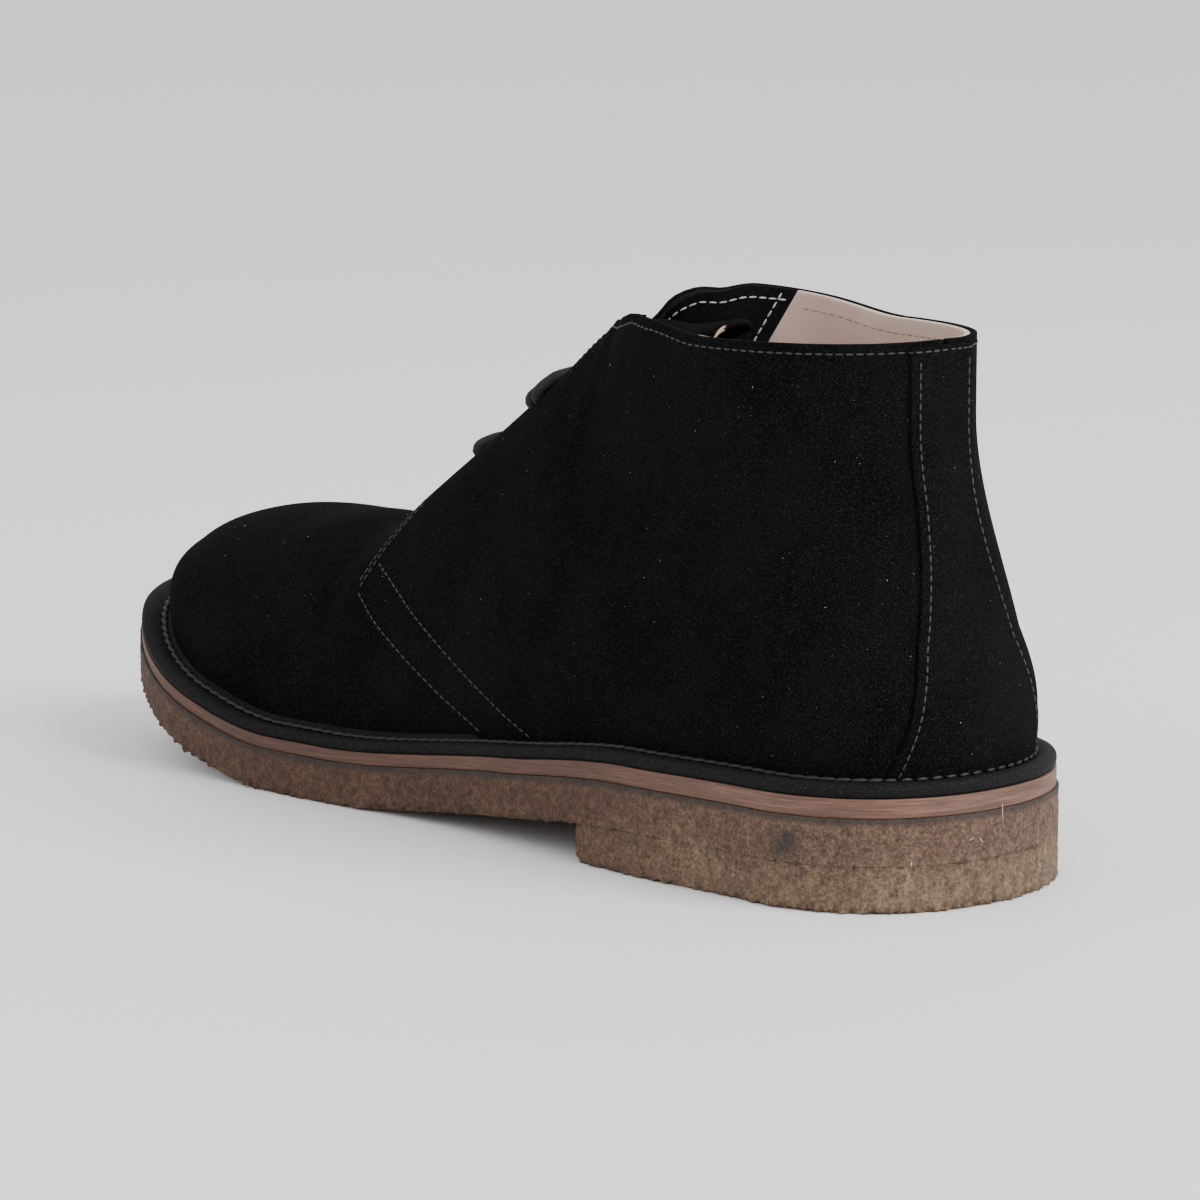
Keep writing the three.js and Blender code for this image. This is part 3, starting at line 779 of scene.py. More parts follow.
def segment_distance(point, start, end):
    a = Vector(point) - Vector(start)
    b = Vector(end) - Vector(start)
    share = min(max(a.dot(b) / b.length_squared, 0), 1)
    return (a - b * share).length


def crease_relief(place):
    """Height of the soft creases at a place of the vamp."""
    at = at_of(place)
    z = place.z / MM
    relief = 0
    for row in CREASES:
        distance = segment_distance((at, z), row["start"], row["end"])
        relief -= row["depth"] * math.exp(-((distance / row["width"]) ** 2))
    return relief + 0.12 * noise.noise(place * 60)


def back_cut(piece, thickness, rounding):
    """Gives a sheet its thickness inwards and takes the sharpness off its cut edges."""
    wall_maker = piece.modifiers.new("thickness", "SOLIDIFY")
    wall_maker.thickness = thickness * MM
    wall_maker.offset = -1
    rounder = piece.modifiers.new("cut_edges", "BEVEL")
    rounder.width = rounding * MM
    rounder.segments = 3
    rounder.limit_method = "ANGLE"
    rounder.angle_limit = math.radians(50)


def nap_group():
    """Brushed nap of suede: cloudy tone, fine fibre height and a scatter of paler fibre ends."""
    group = bpy.data.node_groups.new("suede_nap", "ShaderNodeTree")
    group.interface.new_socket("Place", in_out="INPUT", socket_type="NodeSocketVector")
    for name in ("Tone", "Fibre", "Ends"):
        group.interface.new_socket(name, in_out="OUTPUT", socket_type="NodeSocketFloat")
    start = group.nodes.new("NodeGroupInput")
    end = group.nodes.new("NodeGroupOutput")
    place = start.outputs["Place"]
    cloud = add_noise(group, place, 38, 5, stretch=(1, 1, 0.7), roughness=0.62)
    fibre = add_noise(group, place, 1600, 4, roughness=0.7)
    spots = add_noise(group, place, 2600, 2, roughness=0.8)
    group.links.new(add_math(group, "MULTIPLY_ADD", fibre, 0.4, cloud), end.inputs["Tone"])
    group.links.new(fibre, end.inputs["Fibre"])
    group.links.new(add_range(group, spots, 0.53, 0.72), end.inputs["Ends"])
    return group


suede_nap = nap_group()


def suede_finish(name, dark, light, ends, roughness=0.95, gloss=0.02):
    """Suede in two dark tones with paler fibre ends."""
    finish, tree, shader, place = new_finish(name, roughness)
    nap = tree.nodes.new("ShaderNodeGroup")
    nap.node_tree = suede_nap
    tree.links.new(place, nap.inputs["Place"])
    colour = add_ramp(tree, nap.outputs["Tone"], [(0.52, dark), (0.9, light)])
    colour = add_mix(tree, nap.outputs["Ends"], colour, ends)
    tree.links.new(colour, shader.inputs["Base Color"])
    shader.inputs["Specular IOR Level"].default_value = gloss
    add_bump(tree, shader, nap.outputs["Fibre"], 0.6, 0.0005)
    return finish


suede = suede_finish("black_suede", (0.002, 0.0021, 0.0024), (0.005, 0.0053, 0.0057), (0.022, 0.022, 0.021))


def vamp_place(u, v):
    """Place of the vamp's outer face: u from one quarter's edge round the toe to the other's."""
    side = INNER if u <= 0.5 else OUTER
    half = 2 * u if u <= 0.5 else 2 * (1 - u)
    start = front_turn(side, min(v, 0.97)) - VAMP_LAP
    place = wall(side, start + (3 - start) * half, v)
    if place.x < TOP_LINE[-3]["at"] + 2:
        ridge = curve(RIDGE, "at", "side", place.x)
        place.y = ridge + (place.y - ridge) * (1 - smooth_step(SLIT_LOW, 1, v))
    return place


mesh = leather_sheet(VAMP_COLUMNS, VAMP_ROWS, vamp_place)
push_out(mesh, -QUARTER_STEP)
push_out(mesh, crease_relief)
vamp = add_piece("suede_vamp", mesh, suede)
back_cut(vamp, VAMP_THICKNESS, 0.3)

# Quarters
# Two pieces of the same black suede from the back seam to the throat, lapped over the vamp and
# held to it by two rows of stitches. Each has two punched eyelet holes without metal.
QUARTER_COLUMNS = 170
QUARTER_ROWS = 96
QUARTER_THICKNESS = 1.5
QUARTER_LOW = 0.015
SEAM_TURN = 0.01
EYELET_FEET = (173, 150)
EYELET_DOWN = 9
EYELET_RADIUS = 2
MARCH_STEP = 0.002


def rise_below(side, turn, distance):
    """Rise of the point that lies a given way down the wall from the top line."""
    rise = 1
    gone = 0
    while gone < distance:
        gone += (wall(side, turn, rise) - wall(side, turn, rise - MARCH_STEP)).length
        rise -= MARCH_STEP
    return rise


def wall_normal(side, turn, rise):
    """Outward direction of the wall at a place."""
    step = 0.001
    along = wall(side, turn + step, rise) - wall(side, turn - step, rise)
    up = wall(side, turn, min(rise + step, 1)) - wall(side, turn, rise - step)
    return (along.cross(up) * -side).normalized()


def wall_frame(side, turn, rise, lift):
    """Place above the wall in metres, with the outward normal there."""
    normal = wall_normal(side, turn, rise)
    return placed(*(wall(side, turn, rise) + normal * lift)), normal


def eyelet(side, foot):
    turn = foot_turn(foot)
    return side, turn, rise_below(side, turn, EYELET_DOWN)


def punch_hole(mesh, centre):
    """Opens a round hole in a sheet and draws its rim on to the circle."""
    gone = [v for v in mesh.verts if (v.co - centre).length < 0.8 * EYELET_RADIUS * MM]
    bmesh.ops.delete(mesh, geom=gone, context="VERTS")
    for vertex in mesh.verts:
        offset = vertex.co - centre
        if vertex.is_boundary and offset.length < 2 * EYELET_RADIUS * MM:
            vertex.co = centre + offset.normalized() * EYELET_RADIUS * MM
    mesh.normal_update()


def quarter_place(side):
    def place(u, v):
        rise = QUARTER_LOW + (1 - QUARTER_LOW) * v
        end = front_turn(side, rise)
        return wall(side, SEAM_TURN + (end - SEAM_TURN) * u, rise)
    return place


for side, label in ((OUTER, "outer"), (INNER, "inner")):
    mesh = leather_sheet(QUARTER_COLUMNS, QUARTER_ROWS, quarter_place(side), side == OUTER)
    for foot in EYELET_FEET:
        punch_hole(mesh, wall_frame(*eyelet(side, foot), 0)[0])
    quarter = add_piece("suede_quarter_" + label, mesh, suede)
    back_cut(quarter, QUARTER_THICKNESS, 0.35)

# Heel panel
# A third piece of suede over the back seam, from the collar down to the flange. It is narrow at
# the ankle, spreads over the heel and covers the quarters' back ends.
PANEL_STEP = 1
PANEL_COLUMNS = 60
PANEL_ROWS = 96
PANEL_HIGH = 0.99
PANEL_TRIM = 1
PANEL = [
    dict(height=10, half=30),
    dict(height=34, half=24),
    dict(height=48, half=20),
    dict(height=65, half=15),
    dict(height=80, half=11.8),
    dict(height=92, half=10.6),
    dict(height=140, half=10.6),
]


def panel_turn(side, rise, inset):
    """Turn where a level line meets the panel's edge, or a line some way inside it."""
    def within(place):
        return abs(place.y) < curve(PANEL, "height", "half", place.z) - PANEL_TRIM - inset
    return find_turn(side, rise, 0, 0.9, within)


def panel_place(u, v):
    side = INNER if u > 0.5 else OUTER
    rise = QUARTER_LOW + (PANEL_HIGH - QUARTER_LOW) * v
    return wall(side, abs(2 * u - 1) * panel_turn(side, rise, 0), rise)


mesh = leather_sheet(PANEL_COLUMNS, PANEL_ROWS, panel_place)
push_out(mesh, PANEL_STEP)
panel = add_piece("suede_heel_panel", mesh, suede)
back_cut(panel, PANEL_STEP + 0.2, 0.35)

# Flange
# The turned-out foot of the upper, a dark burnished roll of suede that lies on the midsole all
# the way round and is lock-stitched through it.
FLANGE_COLUMNS = 600
FLANGE = [
    dict(at=0, thick=3),
    dict(at=150, thick=2.6),
    dict(at=300, thick=2.3),
]
FLANGE_PROFILE = [
    dict(out=0.5, up=0), dict(out=0.15, up=0.25), dict(out=0, up=0.5), dict(out=0.1, up=0.8),
    dict(out=0.5, up=1), dict(out=1.3, up=1.12), dict(out=2.4, up=1.16), dict(out=3.4, up=1.08),
    dict(out=4.3, up=0.95), dict(out=5, up=0.9), dict(out=5.7, up=1.05), dict(out=6.4, up=1.4),
    dict(out=7.6, up=2), dict(out=9, up=1.5), dict(out=9, up=0),
]


def flange_mesh():
    """Closed ring: a profile carried round the outline, wider and flatter at the toe."""
    count = len(FLANGE_PROFILE)
    mesh = bmesh.new()
    bmesh.ops.create_grid(mesh, x_segments=FLANGE_COLUMNS, y_segments=count, size=0.5)
    for vertex in mesh.verts:
        row = FLANGE_PROFILE[round((0.5 - vertex.co.y) * count) % count]
        side, turn = loop_place(vertex.co.x + 0.5)
        inset = EDGE_SETBACK + row["out"] * flange_width(turn) / FLANGE_WIDTH
        at, y, _, _ = outline_point(side, turn, inset)
        z = midsole_top(at) + row["up"] * curve(FLANGE, "at", "thick", at)
        vertex.co = placed(at, y, z)
    bmesh.ops.remove_doubles(mesh, verts=mesh.verts, dist=1e-6)
    bmesh.ops.recalc_face_normals(mesh, faces=mesh.faces)
    mesh.normal_update()
    return mesh


burnished = suede_finish(
    "burnished_suede", (0.0018, 0.0018, 0.002), (0.006, 0.006, 0.006), (0.03, 0.029, 0.027), 0.7, 0.12
)
flange = add_piece("suede_flange", flange_mesh(), burnished)

# Lining and facing
# Pinkish beige leather lines the shaft, and a black facing backs the eyelets and the throat.
# Both are stitched to the suede and end just below its top edge, lower at the outer front.
FACING_AT_TOP = 93.4
FACING_TOP = 130.7
FACING_SLANT = 0.55
LINING_DEEP = 1.55
LINING_THICKNESS = 1.4
LINING_ROWS = 70
LINING_DROP = 0.002
LINING_OUTER_DROP = 0.009
LINING_FALL = (0.82, 0.88)
FACING_COLUMNS = 60


def facing_turn(side, rise, ahead=0):
    """Turn where a level line meets the facing's slanting rear edge, or a line ahead of it."""
    def behind(place):
        return place.x < FACING_AT_TOP + FACING_SLANT * (FACING_TOP - place.z) + ahead
    return find_turn(side, rise, 0.3, 1.95, behind)


def lining_place(u, v):
    side = OUTER if u < 0.5 else INNER
    share = abs(2 * u - 1)
    drop = LINING_DROP
    if side == OUTER:
        drop += LINING_OUTER_DROP * smooth_step(*LINING_FALL, share)
    rise = QUARTER_LOW + (1 - drop - QUARTER_LOW) * v
    return wall(side, share * facing_turn(side, rise), rise)


def facing_place(side):
    def place(u, v):
        rise = QUARTER_LOW + (1 - LINING_DROP - QUARTER_LOW) * v
        start = facing_turn(side, rise)
        end = max(front_turn(side, rise) - 0.002, start + 0.002)
        return wall(side, start + (end - start) * u, rise)
    return place


mesh = leather_sheet(180, LINING_ROWS, lining_place)
push_out(mesh, -LINING_DEEP)
lining = add_piece("leather_lining", mesh, lining_leather)
back_cut(lining, LINING_THICKNESS, 0.3)
facing_suede = suede_finish(
    "facing_suede", (0.004, 0.004, 0.0044), (0.011, 0.011, 0.012), (0.03, 0.03, 0.03)
)
for side, label in ((OUTER, "outer"), (INNER, "inner")):
    mesh = leather_sheet(FACING_COLUMNS, LINING_ROWS, facing_place(side), side == OUTER)
    push_out(mesh, -LINING_DEEP)
    for foot in EYELET_FEET:
        punch_hole(mesh, wall_frame(*eyelet(side, foot), -LINING_DEEP)[0])
    facing = add_piece("suede_facing_" + label, mesh, facing_suede)
    back_cut(facing, LINING_THICKNESS, 0.25)
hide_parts("upper")

# Tongue
# One thick piece of suede under the throat with a raw, paler cut edge. It is stitched down at
# its foot and its free end stands up as a rounded hump behind the lace.
TONGUE_CLEARANCE = 0.8
TONGUE_ACROSS = 4
TONGUE_CROWN = 1.2
TONGUE_PUFF = 1.8
TONGUE_CROWN_SPAN = 8
TONGUE_PUFF_FROM = 140
TONGUE_PUFF_TO = 182
TONGUE_FOOT_FROM = 185
TONGUE_FOOT_SINK = 1.6
TONGUE_THICKNESS = 2.2
TONGUE_RIBS = [
    (214, 13), (207, 14), (199, 15), (190, 16), (180, 17), (168, 18), (156, 19), (144, 20),
    (134, 20), (128, 20),
]
TONGUE_END = [
    dict(back=7, up=-1, width=0.88, arch=0.9),
    dict(back=15, up=-1, width=0.82, arch=0.7),
    dict(back=23, up=0.2, width=0.76, arch=0.5),
    dict(back=29, up=1.4, width=0.66, arch=0.36),
    dict(back=31.5, up=1.7, width=0.46, arch=0.3),
]


def tongue_strip(side, turn, half, gap):
    """Places from the tongue's side edge to the throat's middle, under the quarters."""
    strip = []
    for i in range(TONGUE_ACROSS + 1):
        rise = rise_below(side, turn, (half - gap / 2) * (1 - i / TONGUE_ACROSS)) - 0.001
        deep = WALL + TONGUE_CLEARANCE
        deep += TONGUE_FOOT_SINK * smooth_step(TONGUE_FOOT_FROM, TONGUE_FOOT_FROM + 15, foot_of(turn))
        strip.append(wall(side, turn, rise) - wall_normal(side, turn, rise) * deep)
    return strip


def over_throat(turn):
    """Direction out of the throat, halfway between the two sides."""
    return (wall_normal(OUTER, turn, 0.995) + wall_normal(INNER, turn, 0.995)).normalized()


def tongue_rows():
    """Rows across the tongue from its foot up to its free end."""
    rows = []
    for foot, half in TONGUE_RIBS:
        turn = foot_turn(foot)
        gap = top_point(OUTER, turn)[1] - top_point(INNER, turn)[1]
        outer = tongue_strip(OUTER, turn, half, gap)
        inner = tongue_strip(INNER, turn, half, gap)
        crown = (outer[-1] + inner[-1]) / 2
        crown.z += TONGUE_CROWN * min(1, (outer[-1] - inner[-1]).length / TONGUE_CROWN_SPAN)
        if TONGUE_PUFF_FROM < foot < TONGUE_PUFF_TO:
            crown += over_throat(turn) * TONGUE_PUFF
        rows.append(outer[:-1] + [crown] + inner[-2::-1])
    last = rows[-1]
    middle = last[TONGUE_ACROSS].z
    for end in TONGUE_END:
        row = []
        for p in last:
            height = middle + end["up"] + (p.z - middle) * end["arch"]
            row.append(Vector((p.x - end["back"], p.y * end["width"], height)))
        rows.append(row)
    return rows


def raw_edge_finish():
    """Cut edge of the tongue: black, but raw and pale at the outer corner of its free end."""
    finish, tree, shader, place = new_finish("raw_cut_edge", 0.9)
    diagonal = tree.nodes.new("ShaderNodeVectorMath")
    diagonal.operation = "DOT_PRODUCT"
    diagonal.inputs[1].default_value = (1, 1, 0)
    tree.links.new(place, diagonal.inputs[0])
    rough = add_math(tree, "MULTIPLY_ADD", add_noise(tree, place, 900, 3), 0.003, diagonal.outputs["Value"])
    start = add_range(tree, rough, RAW_FROM, RAW_FROM + 0.0006)
    end = add_range(tree, rough, RAW_TO - 0.0006, RAW_TO, 1, 0)
    raw = add_math(tree, "MULTIPLY", start, end)
    colour = add_mix(tree, raw, (0.003, 0.003, 0.0032), (0.5, 0.36, 0.29))
    tree.links.new(colour, shader.inputs["Base Color"])
    shader.inputs["Specular IOR Level"].default_value = 0.1
    return finish


RAW_FROM = -0.0516
RAW_TO = -0.0407
raw_edge = raw_edge_finish()
rows = tongue_rows()
mesh = bmesh.new()
bmesh.ops.create_grid(mesh, x_segments=2 * TONGUE_ACROSS, y_segments=len(rows) - 1, size=0.5)
for vertex in mesh.verts:
    across = round((vertex.co.x + 0.5) * 2 * TONGUE_ACROSS)
    along = round((vertex.co.y + 0.5) * (len(rows) - 1))
    vertex.co = placed(*rows[along][across])
mesh.normal_update()
tongue = add_piece("suede_tongue", mesh, suede, raw_edge)
body = tongue.modifiers.new("thickness", "SOLIDIFY")
body.thickness = TONGUE_THICKNESS * MM
body.offset = -1
body.material_offset_rim = 1
smoother = tongue.modifiers.new("rounding", "SUBSURF")
smoother.levels = 3
smoother.render_levels = 3
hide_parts("tongue")

# Lace
# One round black cotton lace. It crosses the throat once at the lower eyelets and twice at the
# upper ones, and its ends stop inside the upper eyelets.
LACE_RADIUS = 1.4
LACE_LIFT = 0.05
LACE_INSIDE = 0.5
LACE_INSIDE_LIFT = -3.15
LACE_STEP = 0.35
LACE_SIDES = 20
LACE_BRAID = 0.09
STRAND_OFFSET = 1.5
LACE_KNOTS = [
    dict(shift=0, down=9, lift=-3.15, radius=0.5),
    dict(shift=0.5, down=9, lift=-0.9, radius=0.8),
    dict(shift=0.8, down=8.5, lift=0.75, radius=1.15),
    dict(shift=1, down=6.9, lift=1.45, radius=1.4),
    dict(shift=1, down=3.75, lift=1.45, radius=1.4),
]


def lace_seat(side, foot, down, lift):
    """Place some way down from the top line and off the wall."""
    turn = foot_turn(foot)
    rise = rise_below(side, turn, down)
    return wall(side, turn, rise) + wall_normal(side, turn, rise) * lift


def lace_crown(side, foot):
    """Place where the lace passes over the throat's edge."""
    turn = foot_turn(foot)
    return Vector(top_point(side, turn)) + over_throat(turn) * (LACE_RADIUS + LACE_LIFT)


def lace_bar(side, foot, shift):
    """Knots (place, radius) from inside one eyelet over the throat to inside the other."""
    half = {}
    for this in (OUTER, INNER):
        half[this] = [
            (lace_seat(this, foot + shift * knot["shift"], knot["down"], knot["lift"]), knot["radius"])
            for knot in LACE_KNOTS
        ]
        half[this].append((lace_crown(this, foot + shift), LACE_RADIUS))
    return half[side] + half[-side][::-1]


def lace_run(side, start, end):
    """Knots of the hidden run inside the quarter from one eyelet to the next."""
    return [
        (lace_seat(side, start + (end - start) * share, EYELET_DOWN, LACE_INSIDE_LIFT), LACE_INSIDE)
        for share in (0.35, 0.65)
    ]


def smooth_line(knots, step):
    """Even places along a smooth line through knots, each with its radius."""
    places = []
    for i in range(len(knots) - 1):
        before = knots[max(i - 1, 0)]
        start, end = knots[i], knots[i + 1]
        after = knots[min(i + 2, len(knots) - 1)]
        count = max(round((end[0] - start[0]).length / step), 1)
        for k in range(count):
            f = k / count
            weights = (
                -0.5 * f + f * f - 0.5 * f ** 3,
                1 - 2.5 * f * f + 1.5 * f ** 3,
                0.5 * f + 2 * f * f - 1.5 * f ** 3,
                -0.5 * f * f + 0.5 * f ** 3,
            )
            four = (before, start, end, after)
            place = sum((knot[0] * w for knot, w in zip(four, weights)), Vector((0, 0, 0)))
            places.append((place, start[1] + (end[1] - start[1]) * smooth_step(0, 1, f)))
    places.append(knots[-1])
    return places


def tube(line, sides):
    """Closed tube along a line, round, with a faint braid; rings turn as little as they can."""
    count = len(line)
    mesh = bmesh.new()
    bmesh.ops.create_grid(mesh, x_segments=count - 1, y_segments=sides, size=0.5)
    frames = []
    turned = Vector((0, 0, 1))
    gone = 0
    for i in range(count):
        along = (line[min(i + 1, count - 1)][0] - line[max(i - 1, 0)][0]).normalized()
        turned = (turned - along * turned.dot(along)).normalized()
        gone += (line[i][0] - line[max(i - 1, 0)][0]).length
        frames.append((turned, along.cross(turned), gone))
    for vertex in mesh.verts:
        i = round((vertex.co.x + 0.5) * (count - 1))
        place, radius = line[i]
        first, second, gone = frames[i]
        angle = (vertex.co.y + 0.5) * 2 * math.pi
        braid = LACE_BRAID * math.sin(gone * 3.4 + 4 * angle) * math.sin(gone * 3.4 - 4 * angle)
        reach = (radius + braid) * (0.02 if i in (0, count - 1) else 1)
        place = place + (first * math.cos(angle) + second * math.sin(angle)) * reach
        vertex.co = placed(*place)
    bmesh.ops.remove_doubles(mesh, verts=mesh.verts, dist=1e-6)
    bmesh.ops.holes_fill(mesh, edges=[e for e in mesh.edges if e.is_boundary], sides=sides + 2)
    bmesh.ops.recalc_face_normals(mesh, faces=mesh.faces)
    return mesh


black_cotton = two_tone_finish(
    "black_cotton", 0.8, (0.0012, 0.0012, 0.0013), (0.0055, 0.0055, 0.0058), (1400, 3), (1400, 3), 0.4
)
LOWER, UPPER = EYELET_FEET
knots = lace_bar(INNER, UPPER, STRAND_OFFSET) + lace_run(OUTER, UPPER, LOWER)
knots += lace_bar(OUTER, LOWER, 0) + lace_run(INNER, LOWER, UPPER)
knots += lace_bar(INNER, UPPER, -STRAND_OFFSET)
lace = add_piece("cotton_lace", tube(smooth_line(knots, LACE_STEP), LACE_SIDES), black_cotton)
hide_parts("lace_lower")
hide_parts("lace_upper")

# Stitches
# Polyester thread in rows: grey round the collar and on the black suede, pinkish in the lining,
# white on the facing, and a thick dark lock-stitch through the flange.


def level_row(sides, rise_of, lift, first, last, steps, inward=False):
    """Places of a row round the wall, from one turn to another on each side."""
    line = []
    for i in range(steps + 1):
        turn = first + (last - first) * i / steps
        place, normal = wall_frame(sides, turn, rise_of(turn), lift)
        line.append((place, -normal if inward else normal))
    return line


def find_on_wall(side, at, z):
    """Turn and rise of the wall's place at a distance along the shoe and a height."""
    turn = foot_turn(min(max(at, 50), 230))
    rise = 0.4
    step = 0.0005
    for _ in range(14):
        here = wall(side, turn, rise)
        by_turn = (wall(side, turn + step, rise) - here) / step
        by_rise = (wall(side, turn, rise + step) - here) / step
        area = by_turn.x * by_rise.z - by_turn.z * by_rise.x
        off_at, off_z = at - here.x, z - here.z
        turn += min(max((off_at * by_rise.z - off_z * by_rise.x) / area, -0.2), 0.2)
        rise += min(max((off_z * by_turn.x - off_at * by_turn.z) / area, -0.15), 0.15)
        turn = min(max(turn, 0.02), 2.9)
        rise = min(max(rise, 0.004), 0.995)
    return turn, rise


def side_row(side, corners, lift):
    """Places of a row whose corners are seen from the side, as (along, height)."""
    line = []
    for (at, z), (next_at, next_z) in zip(corners, corners[1:]):
        count = max(round(math.hypot(next_at - at, next_z - z) / 2), 1)
        for i in range(count):
            turn, rise = find_on_wall(side, at + (next_at - at) * i / count, z + (next_z - z) * i / count)
            line.append(wall_frame(side, turn, rise, lift))
    return line


def sew(mesh, line, pitch, length, width, height, skew=0):
    """Adds stitches along a line of (place, normal) in metres; sizes in millimetres."""
    gone = 0
    wanted = pitch / 2
    for (start, normal), (end, _) in zip(line, line[1:]):
        span = (end - start).length / MM
        while gone + span >= wanted and span > 0:
            place = start + (end - start) * (wanted - gone) / span
            along = (end - start).normalized()
            across = normal.cross(along).normalized()
            out = along.cross(across)
            turned = Matrix((along, across, out)).transposed().to_4x4()
            turned = Matrix.Translation(place) @ turned @ Matrix.Rotation(skew, 4, "Z")
            size = Matrix.Diagonal((length * MM / 2, width * MM / 2, height * MM / 2, 1))
            bmesh.ops.create_uvsphere(mesh, u_segments=8, v_segments=6, radius=1, matrix=turned @ size)
            wanted += pitch
        gone += span


def thread_finish(name, dark, light, roughness=0.6):
    return two_tone_finish(name, roughness, dark, light, (900, 2))


COLLAR_ROW_DOWN = 2.2
FRONT_ROWS = (1, 2.5)
EDGE_ROW = 1.5
SECOND_ROW = [
    (184.8, 59.4), (179, 57.1), (173.5, 53.9), (158.3, 45.5), (141.7, 35.9), (130.1, 29.6), (119, 24.8),
]
FIRST_DIAGONAL_CORNER = 9
PANEL_ROW = 2
COLLAR_STITCH = dict(pitch=2.35, length=1.95, width=0.5, height=0.5)
FRONT_STITCH = dict(pitch=2.1, length=1.7, width=0.42, height=0.4)
SIDE_STITCH = dict(pitch=2.3, length=1.9, width=0.45, height=0.42)
PANEL_STITCH = dict(pitch=2.3, length=1.9, width=0.5, height=0.5)
grey_thread = thread_finish("grey_thread", (0.009, 0.009, 0.0095), (0.031, 0.031, 0.032))


def inside_edge(corners, distance):
    """The same line moved a way back from the quarters' front edge, as seen from the side."""
    moved = []
    for i, corner in enumerate(corners):
        before = Vector(corners[max(i - 1, 0)])
        after = Vector(corners[min(i + 1, len(corners) - 1)])
        along = (after - before).normalized()
        moved.append((corner[0] + along.y * distance, corner[1] - along.x * distance))
    return moved


def collar_row(side):
    """Row under the top line, over the heel panel and along the throat."""
    line = []
    for i in range(221):
        turn = 0.004 + 1.74 * i / 220
        rise = rise_below(side, turn, COLLAR_ROW_DOWN)
        place = wall(side, turn, rise)
        if place.x > edge_at(place.z) - FRONT_ROWS[0]:
            break
        over_panel = turn < panel_turn(side, rise, 0)
        line.append(wall_frame(side, turn, rise, PANEL_STEP if over_panel else 0))
    return line


mesh = bmesh.new()
for side in (OUTER, INNER):
    sew(mesh, collar_row(side), **COLLAR_STITCH)
    upper_edge = QUARTER_EDGE[2:FIRST_DIAGONAL_CORNER]
    for distance in FRONT_ROWS:
        sew(mesh, side_row(side, inside_edge(upper_edge, distance), 0.05), **FRONT_STITCH)
    diagonal = inside_edge(QUARTER_EDGE[FIRST_DIAGONAL_CORNER:], EDGE_ROW)
    for corners in (diagonal[:-1], SECOND_ROW):
        sew(mesh, side_row(side, corners, 0.05), **SIDE_STITCH)
    line = []
    for i in range(90):
        rise = 0.035 + (PANEL_HIGH - 0.06) * i / 89
        line.append(wall_frame(side, panel_turn(side, rise, PANEL_ROW), rise, PANEL_STEP + 0.05))
    sew(mesh, line, **PANEL_STITCH)
stitches = add_piece("grey_stitches", mesh, grey_thread)

LOCK_INSET = 1.2
LOCK_STITCH = dict(pitch=3.7, length=4.3, width=1.5, height=1.25, skew=math.radians(14))
dark_thread = thread_finish("dark_thread", (0.0015, 0.0015, 0.0016), (0.006, 0.006, 0.0062), 0.6)
mesh = bmesh.new()
line = []
for i in range(721):
    side, turn = loop_place(i / 720)
    at, y, _, _ = outline_point(side, turn, flange_width(turn) - LOCK_INSET)
    height = midsole_top(at) + curve(FLANGE, "at", "thick", at)
    line.append((placed(at, y, height + 0.3), Vector((0, 0, 1))))
sew(mesh, line, **LOCK_STITCH)
lock = add_piece("flange_lock_stitches", mesh, dark_thread)

pink_thread = thread_finish("pink_thread", (0.3, 0.19, 0.15), (0.42, 0.29, 0.24))
white_thread = thread_finish("white_thread", (0.42, 0.42, 0.4), (0.6, 0.6, 0.58))
INSIDE_LIFT = -LINING_DEEP - LINING_THICKNESS - 0.03
LINING_ROW_DOWN = 4
FACING_ROW_DOWN = 2.9
FACING_ROW_AHEAD = 3.3
LINING_STITCH = dict(pitch=2.4, length=1.9, width=0.4, height=0.34)
FACING_STITCH = dict(pitch=2.5, length=2.1, width=0.5, height=0.42)
mesh = bmesh.new()
facing_mesh = bmesh.new()
for side in (OUTER, INNER):
    front = facing_turn(side, 0.97)
    line = level_row(
        side, lambda turn: rise_below(side, turn, LINING_ROW_DOWN), INSIDE_LIFT, 0.01, front - 0.01, 80, True
    )
    sew(mesh, line, **LINING_STITCH)
    line = level_row(
        side, lambda turn: rise_below(side, turn, FACING_ROW_DOWN), INSIDE_LIFT, front + 0.01, 1.7, 60, True
    )
    sew(facing_mesh, line, **FACING_STITCH)
    line = []
    for i in range(70):
        rise = 0.985 - 0.6 * i / 69
        place, normal = wall_frame(side, facing_turn(side, rise, FACING_ROW_AHEAD), rise, INSIDE_LIFT)
        line.append((place, -normal))
    sew(facing_mesh, line, **FACING_STITCH)
lining_stitches = add_piece("lining_stitches", mesh, pink_thread)
facing_stitches = add_piece("facing_stitches", facing_mesh, white_thread)

# Lint
# Short pale fibres that cling to the nap all over, and a few longer ones on the heel's crepe.
LINT_COUNT = 300
LINT_SEED = 7
LINT_SPARED_AT_TOE = 0.75
LINT_LENGTH = (0.1, 0.6)
CREPE_FIBRES = [
    dict(side=OUTER, turn=0.004, z=21.3, length=5, lean=1.62),
    dict(side=OUTER, turn=0.13, z=16.1, length=1.5, lean=0.5),
    dict(side=OUTER, turn=0.09, z=15.6, length=2.4, lean=2.3),
    dict(side=OUTER, turn=0.36, z=11.6, length=1.6, lean=1.4),
    dict(side=INNER, turn=0.2, z=6.3, length=2.6, lean=2.5),
]
lint_white = thread_finish("lint_white", (0.35, 0.35, 0.34), (0.6, 0.6, 0.58), 0.9)


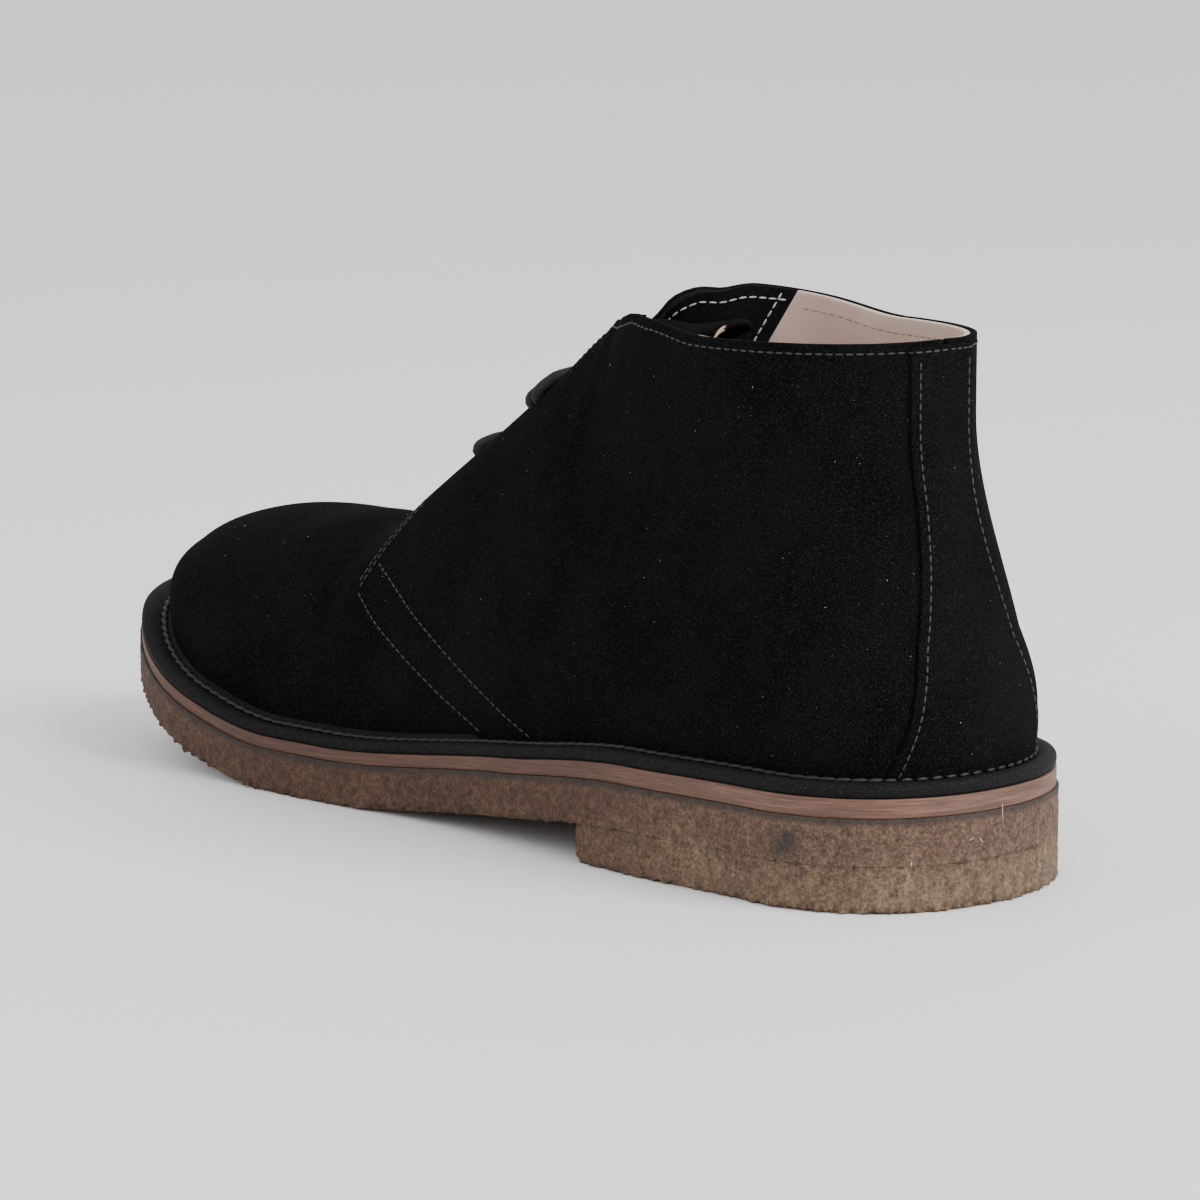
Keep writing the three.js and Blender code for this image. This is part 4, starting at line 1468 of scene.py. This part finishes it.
def add_fibre(mesh, place, normal, lean, length, width):
    """Adds a thin fibre that lies on a surface, turned by its lean; sizes in millimetres."""
    across = Vector((0, 0, 1)).cross(normal).normalized()
    turned = Matrix((across, normal.cross(across), normal)).transposed().to_4x4()
    size = Matrix.Diagonal((length * MM / 2, width * MM / 2, width * MM / 2, 1))
    matrix = Matrix.Translation(place) @ turned @ Matrix.Rotation(lean, 4, "Z") @ size
    bmesh.ops.create_uvsphere(mesh, u_segments=5, v_segments=4, radius=1, matrix=matrix)


lottery = random.Random(LINT_SEED)
mesh = bmesh.new()
for _ in range(LINT_COUNT):
    side = lottery.choice((OUTER, INNER))
    turn = lottery.uniform(0.02, 2.95)
    rise = lottery.uniform(0.04, 0.93)
    if turn > 2 and lottery.random() < LINT_SPARED_AT_TOE:
        continue
    place = wall(side, turn, rise)
    lift = PANEL_STEP if turn < panel_turn(side, rise, 0) else 0
    lift = -QUARTER_STEP if place.x > edge_at(place.z) else lift
    place, normal = wall_frame(side, turn, rise, lift + 0.05)
    if lift < 0:
        place += normal * crease_relief(place) * MM
    length = LINT_LENGTH[0] + (LINT_LENGTH[1] - LINT_LENGTH[0]) * lottery.random() ** 5
    add_fibre(mesh, place, normal, lottery.uniform(0, math.pi), length, 0.07 + 0.06 * lottery.random())
for row in CREPE_FIBRES:
    at, y, axis_at, axis_y = outline_point(row["side"], row["turn"], -0.2)
    out = Vector((at - axis_at, y - axis_y, 0)).normalized()
    add_fibre(mesh, placed(at, y, row["z"]), out, row["lean"], row["length"], 0.2)
lint = add_piece("lint", mesh, lint_white)

# Floor
# A pale studio floor, matte and plain, wide enough to fill the picture.
# It stays behind when the shoe is taken out of the scene.
FLOOR_SIZE = 9


def floor_finish():
    finish, _, shader, _ = new_finish("pale_floor", 0.6)
    shader.inputs["Base Color"].default_value = (0.92, 0.92, 0.92, 1)
    return finish


mesh = bmesh.new()
bmesh.ops.create_grid(mesh, x_segments=1, y_segments=1, size=FLOOR_SIZE)
data = bpy.data.meshes.new("floor")
mesh.to_mesh(data)
mesh.free()
data.materials.append(floor_finish())
floor = bpy.data.objects.new("floor", data)
bpy.context.scene.collection.objects.link(floor)

# Light
# A white room with two large soft lamps: the main one at the heel's side, a weak one opposite.
# Both are aimed at the middle of the shoe.
LAMPS = [
    dict(name="key", aside=1.5, upward=1.3, forward=0.8, size=1.2, power=46),
    dict(name="fill", aside=-1.5, upward=1.1, forward=0.7, size=1.6, power=4),
]
WORLD_LIGHT = 1.15

ahead = Vector((back.x, back.y, 0)).normalized()
for lamp in LAMPS:
    light = bpy.data.lights.new(lamp["name"], "AREA")
    light.shape = "SQUARE"
    light.size = lamp["size"]
    light.energy = lamp["power"]
    place = right * lamp["aside"] + ahead * lamp["forward"] + Vector((0, 0, lamp["upward"]))
    stand = bpy.data.objects.new(lamp["name"], light)
    stand.location = CAMERA_TARGET + place
    stand.rotation_mode = "QUATERNION"
    stand.rotation_quaternion = (-place).to_track_quat("-Z", "Y")
    bpy.context.scene.collection.objects.link(stand)
world = bpy.data.worlds.new("studio")
world.use_nodes = True
world.node_tree.nodes["Background"].inputs["Color"].default_value = (0.98, 0.99, 1, 1)
world.node_tree.nodes["Background"].inputs["Strength"].default_value = WORLD_LIGHT
bpy.context.scene.world = world
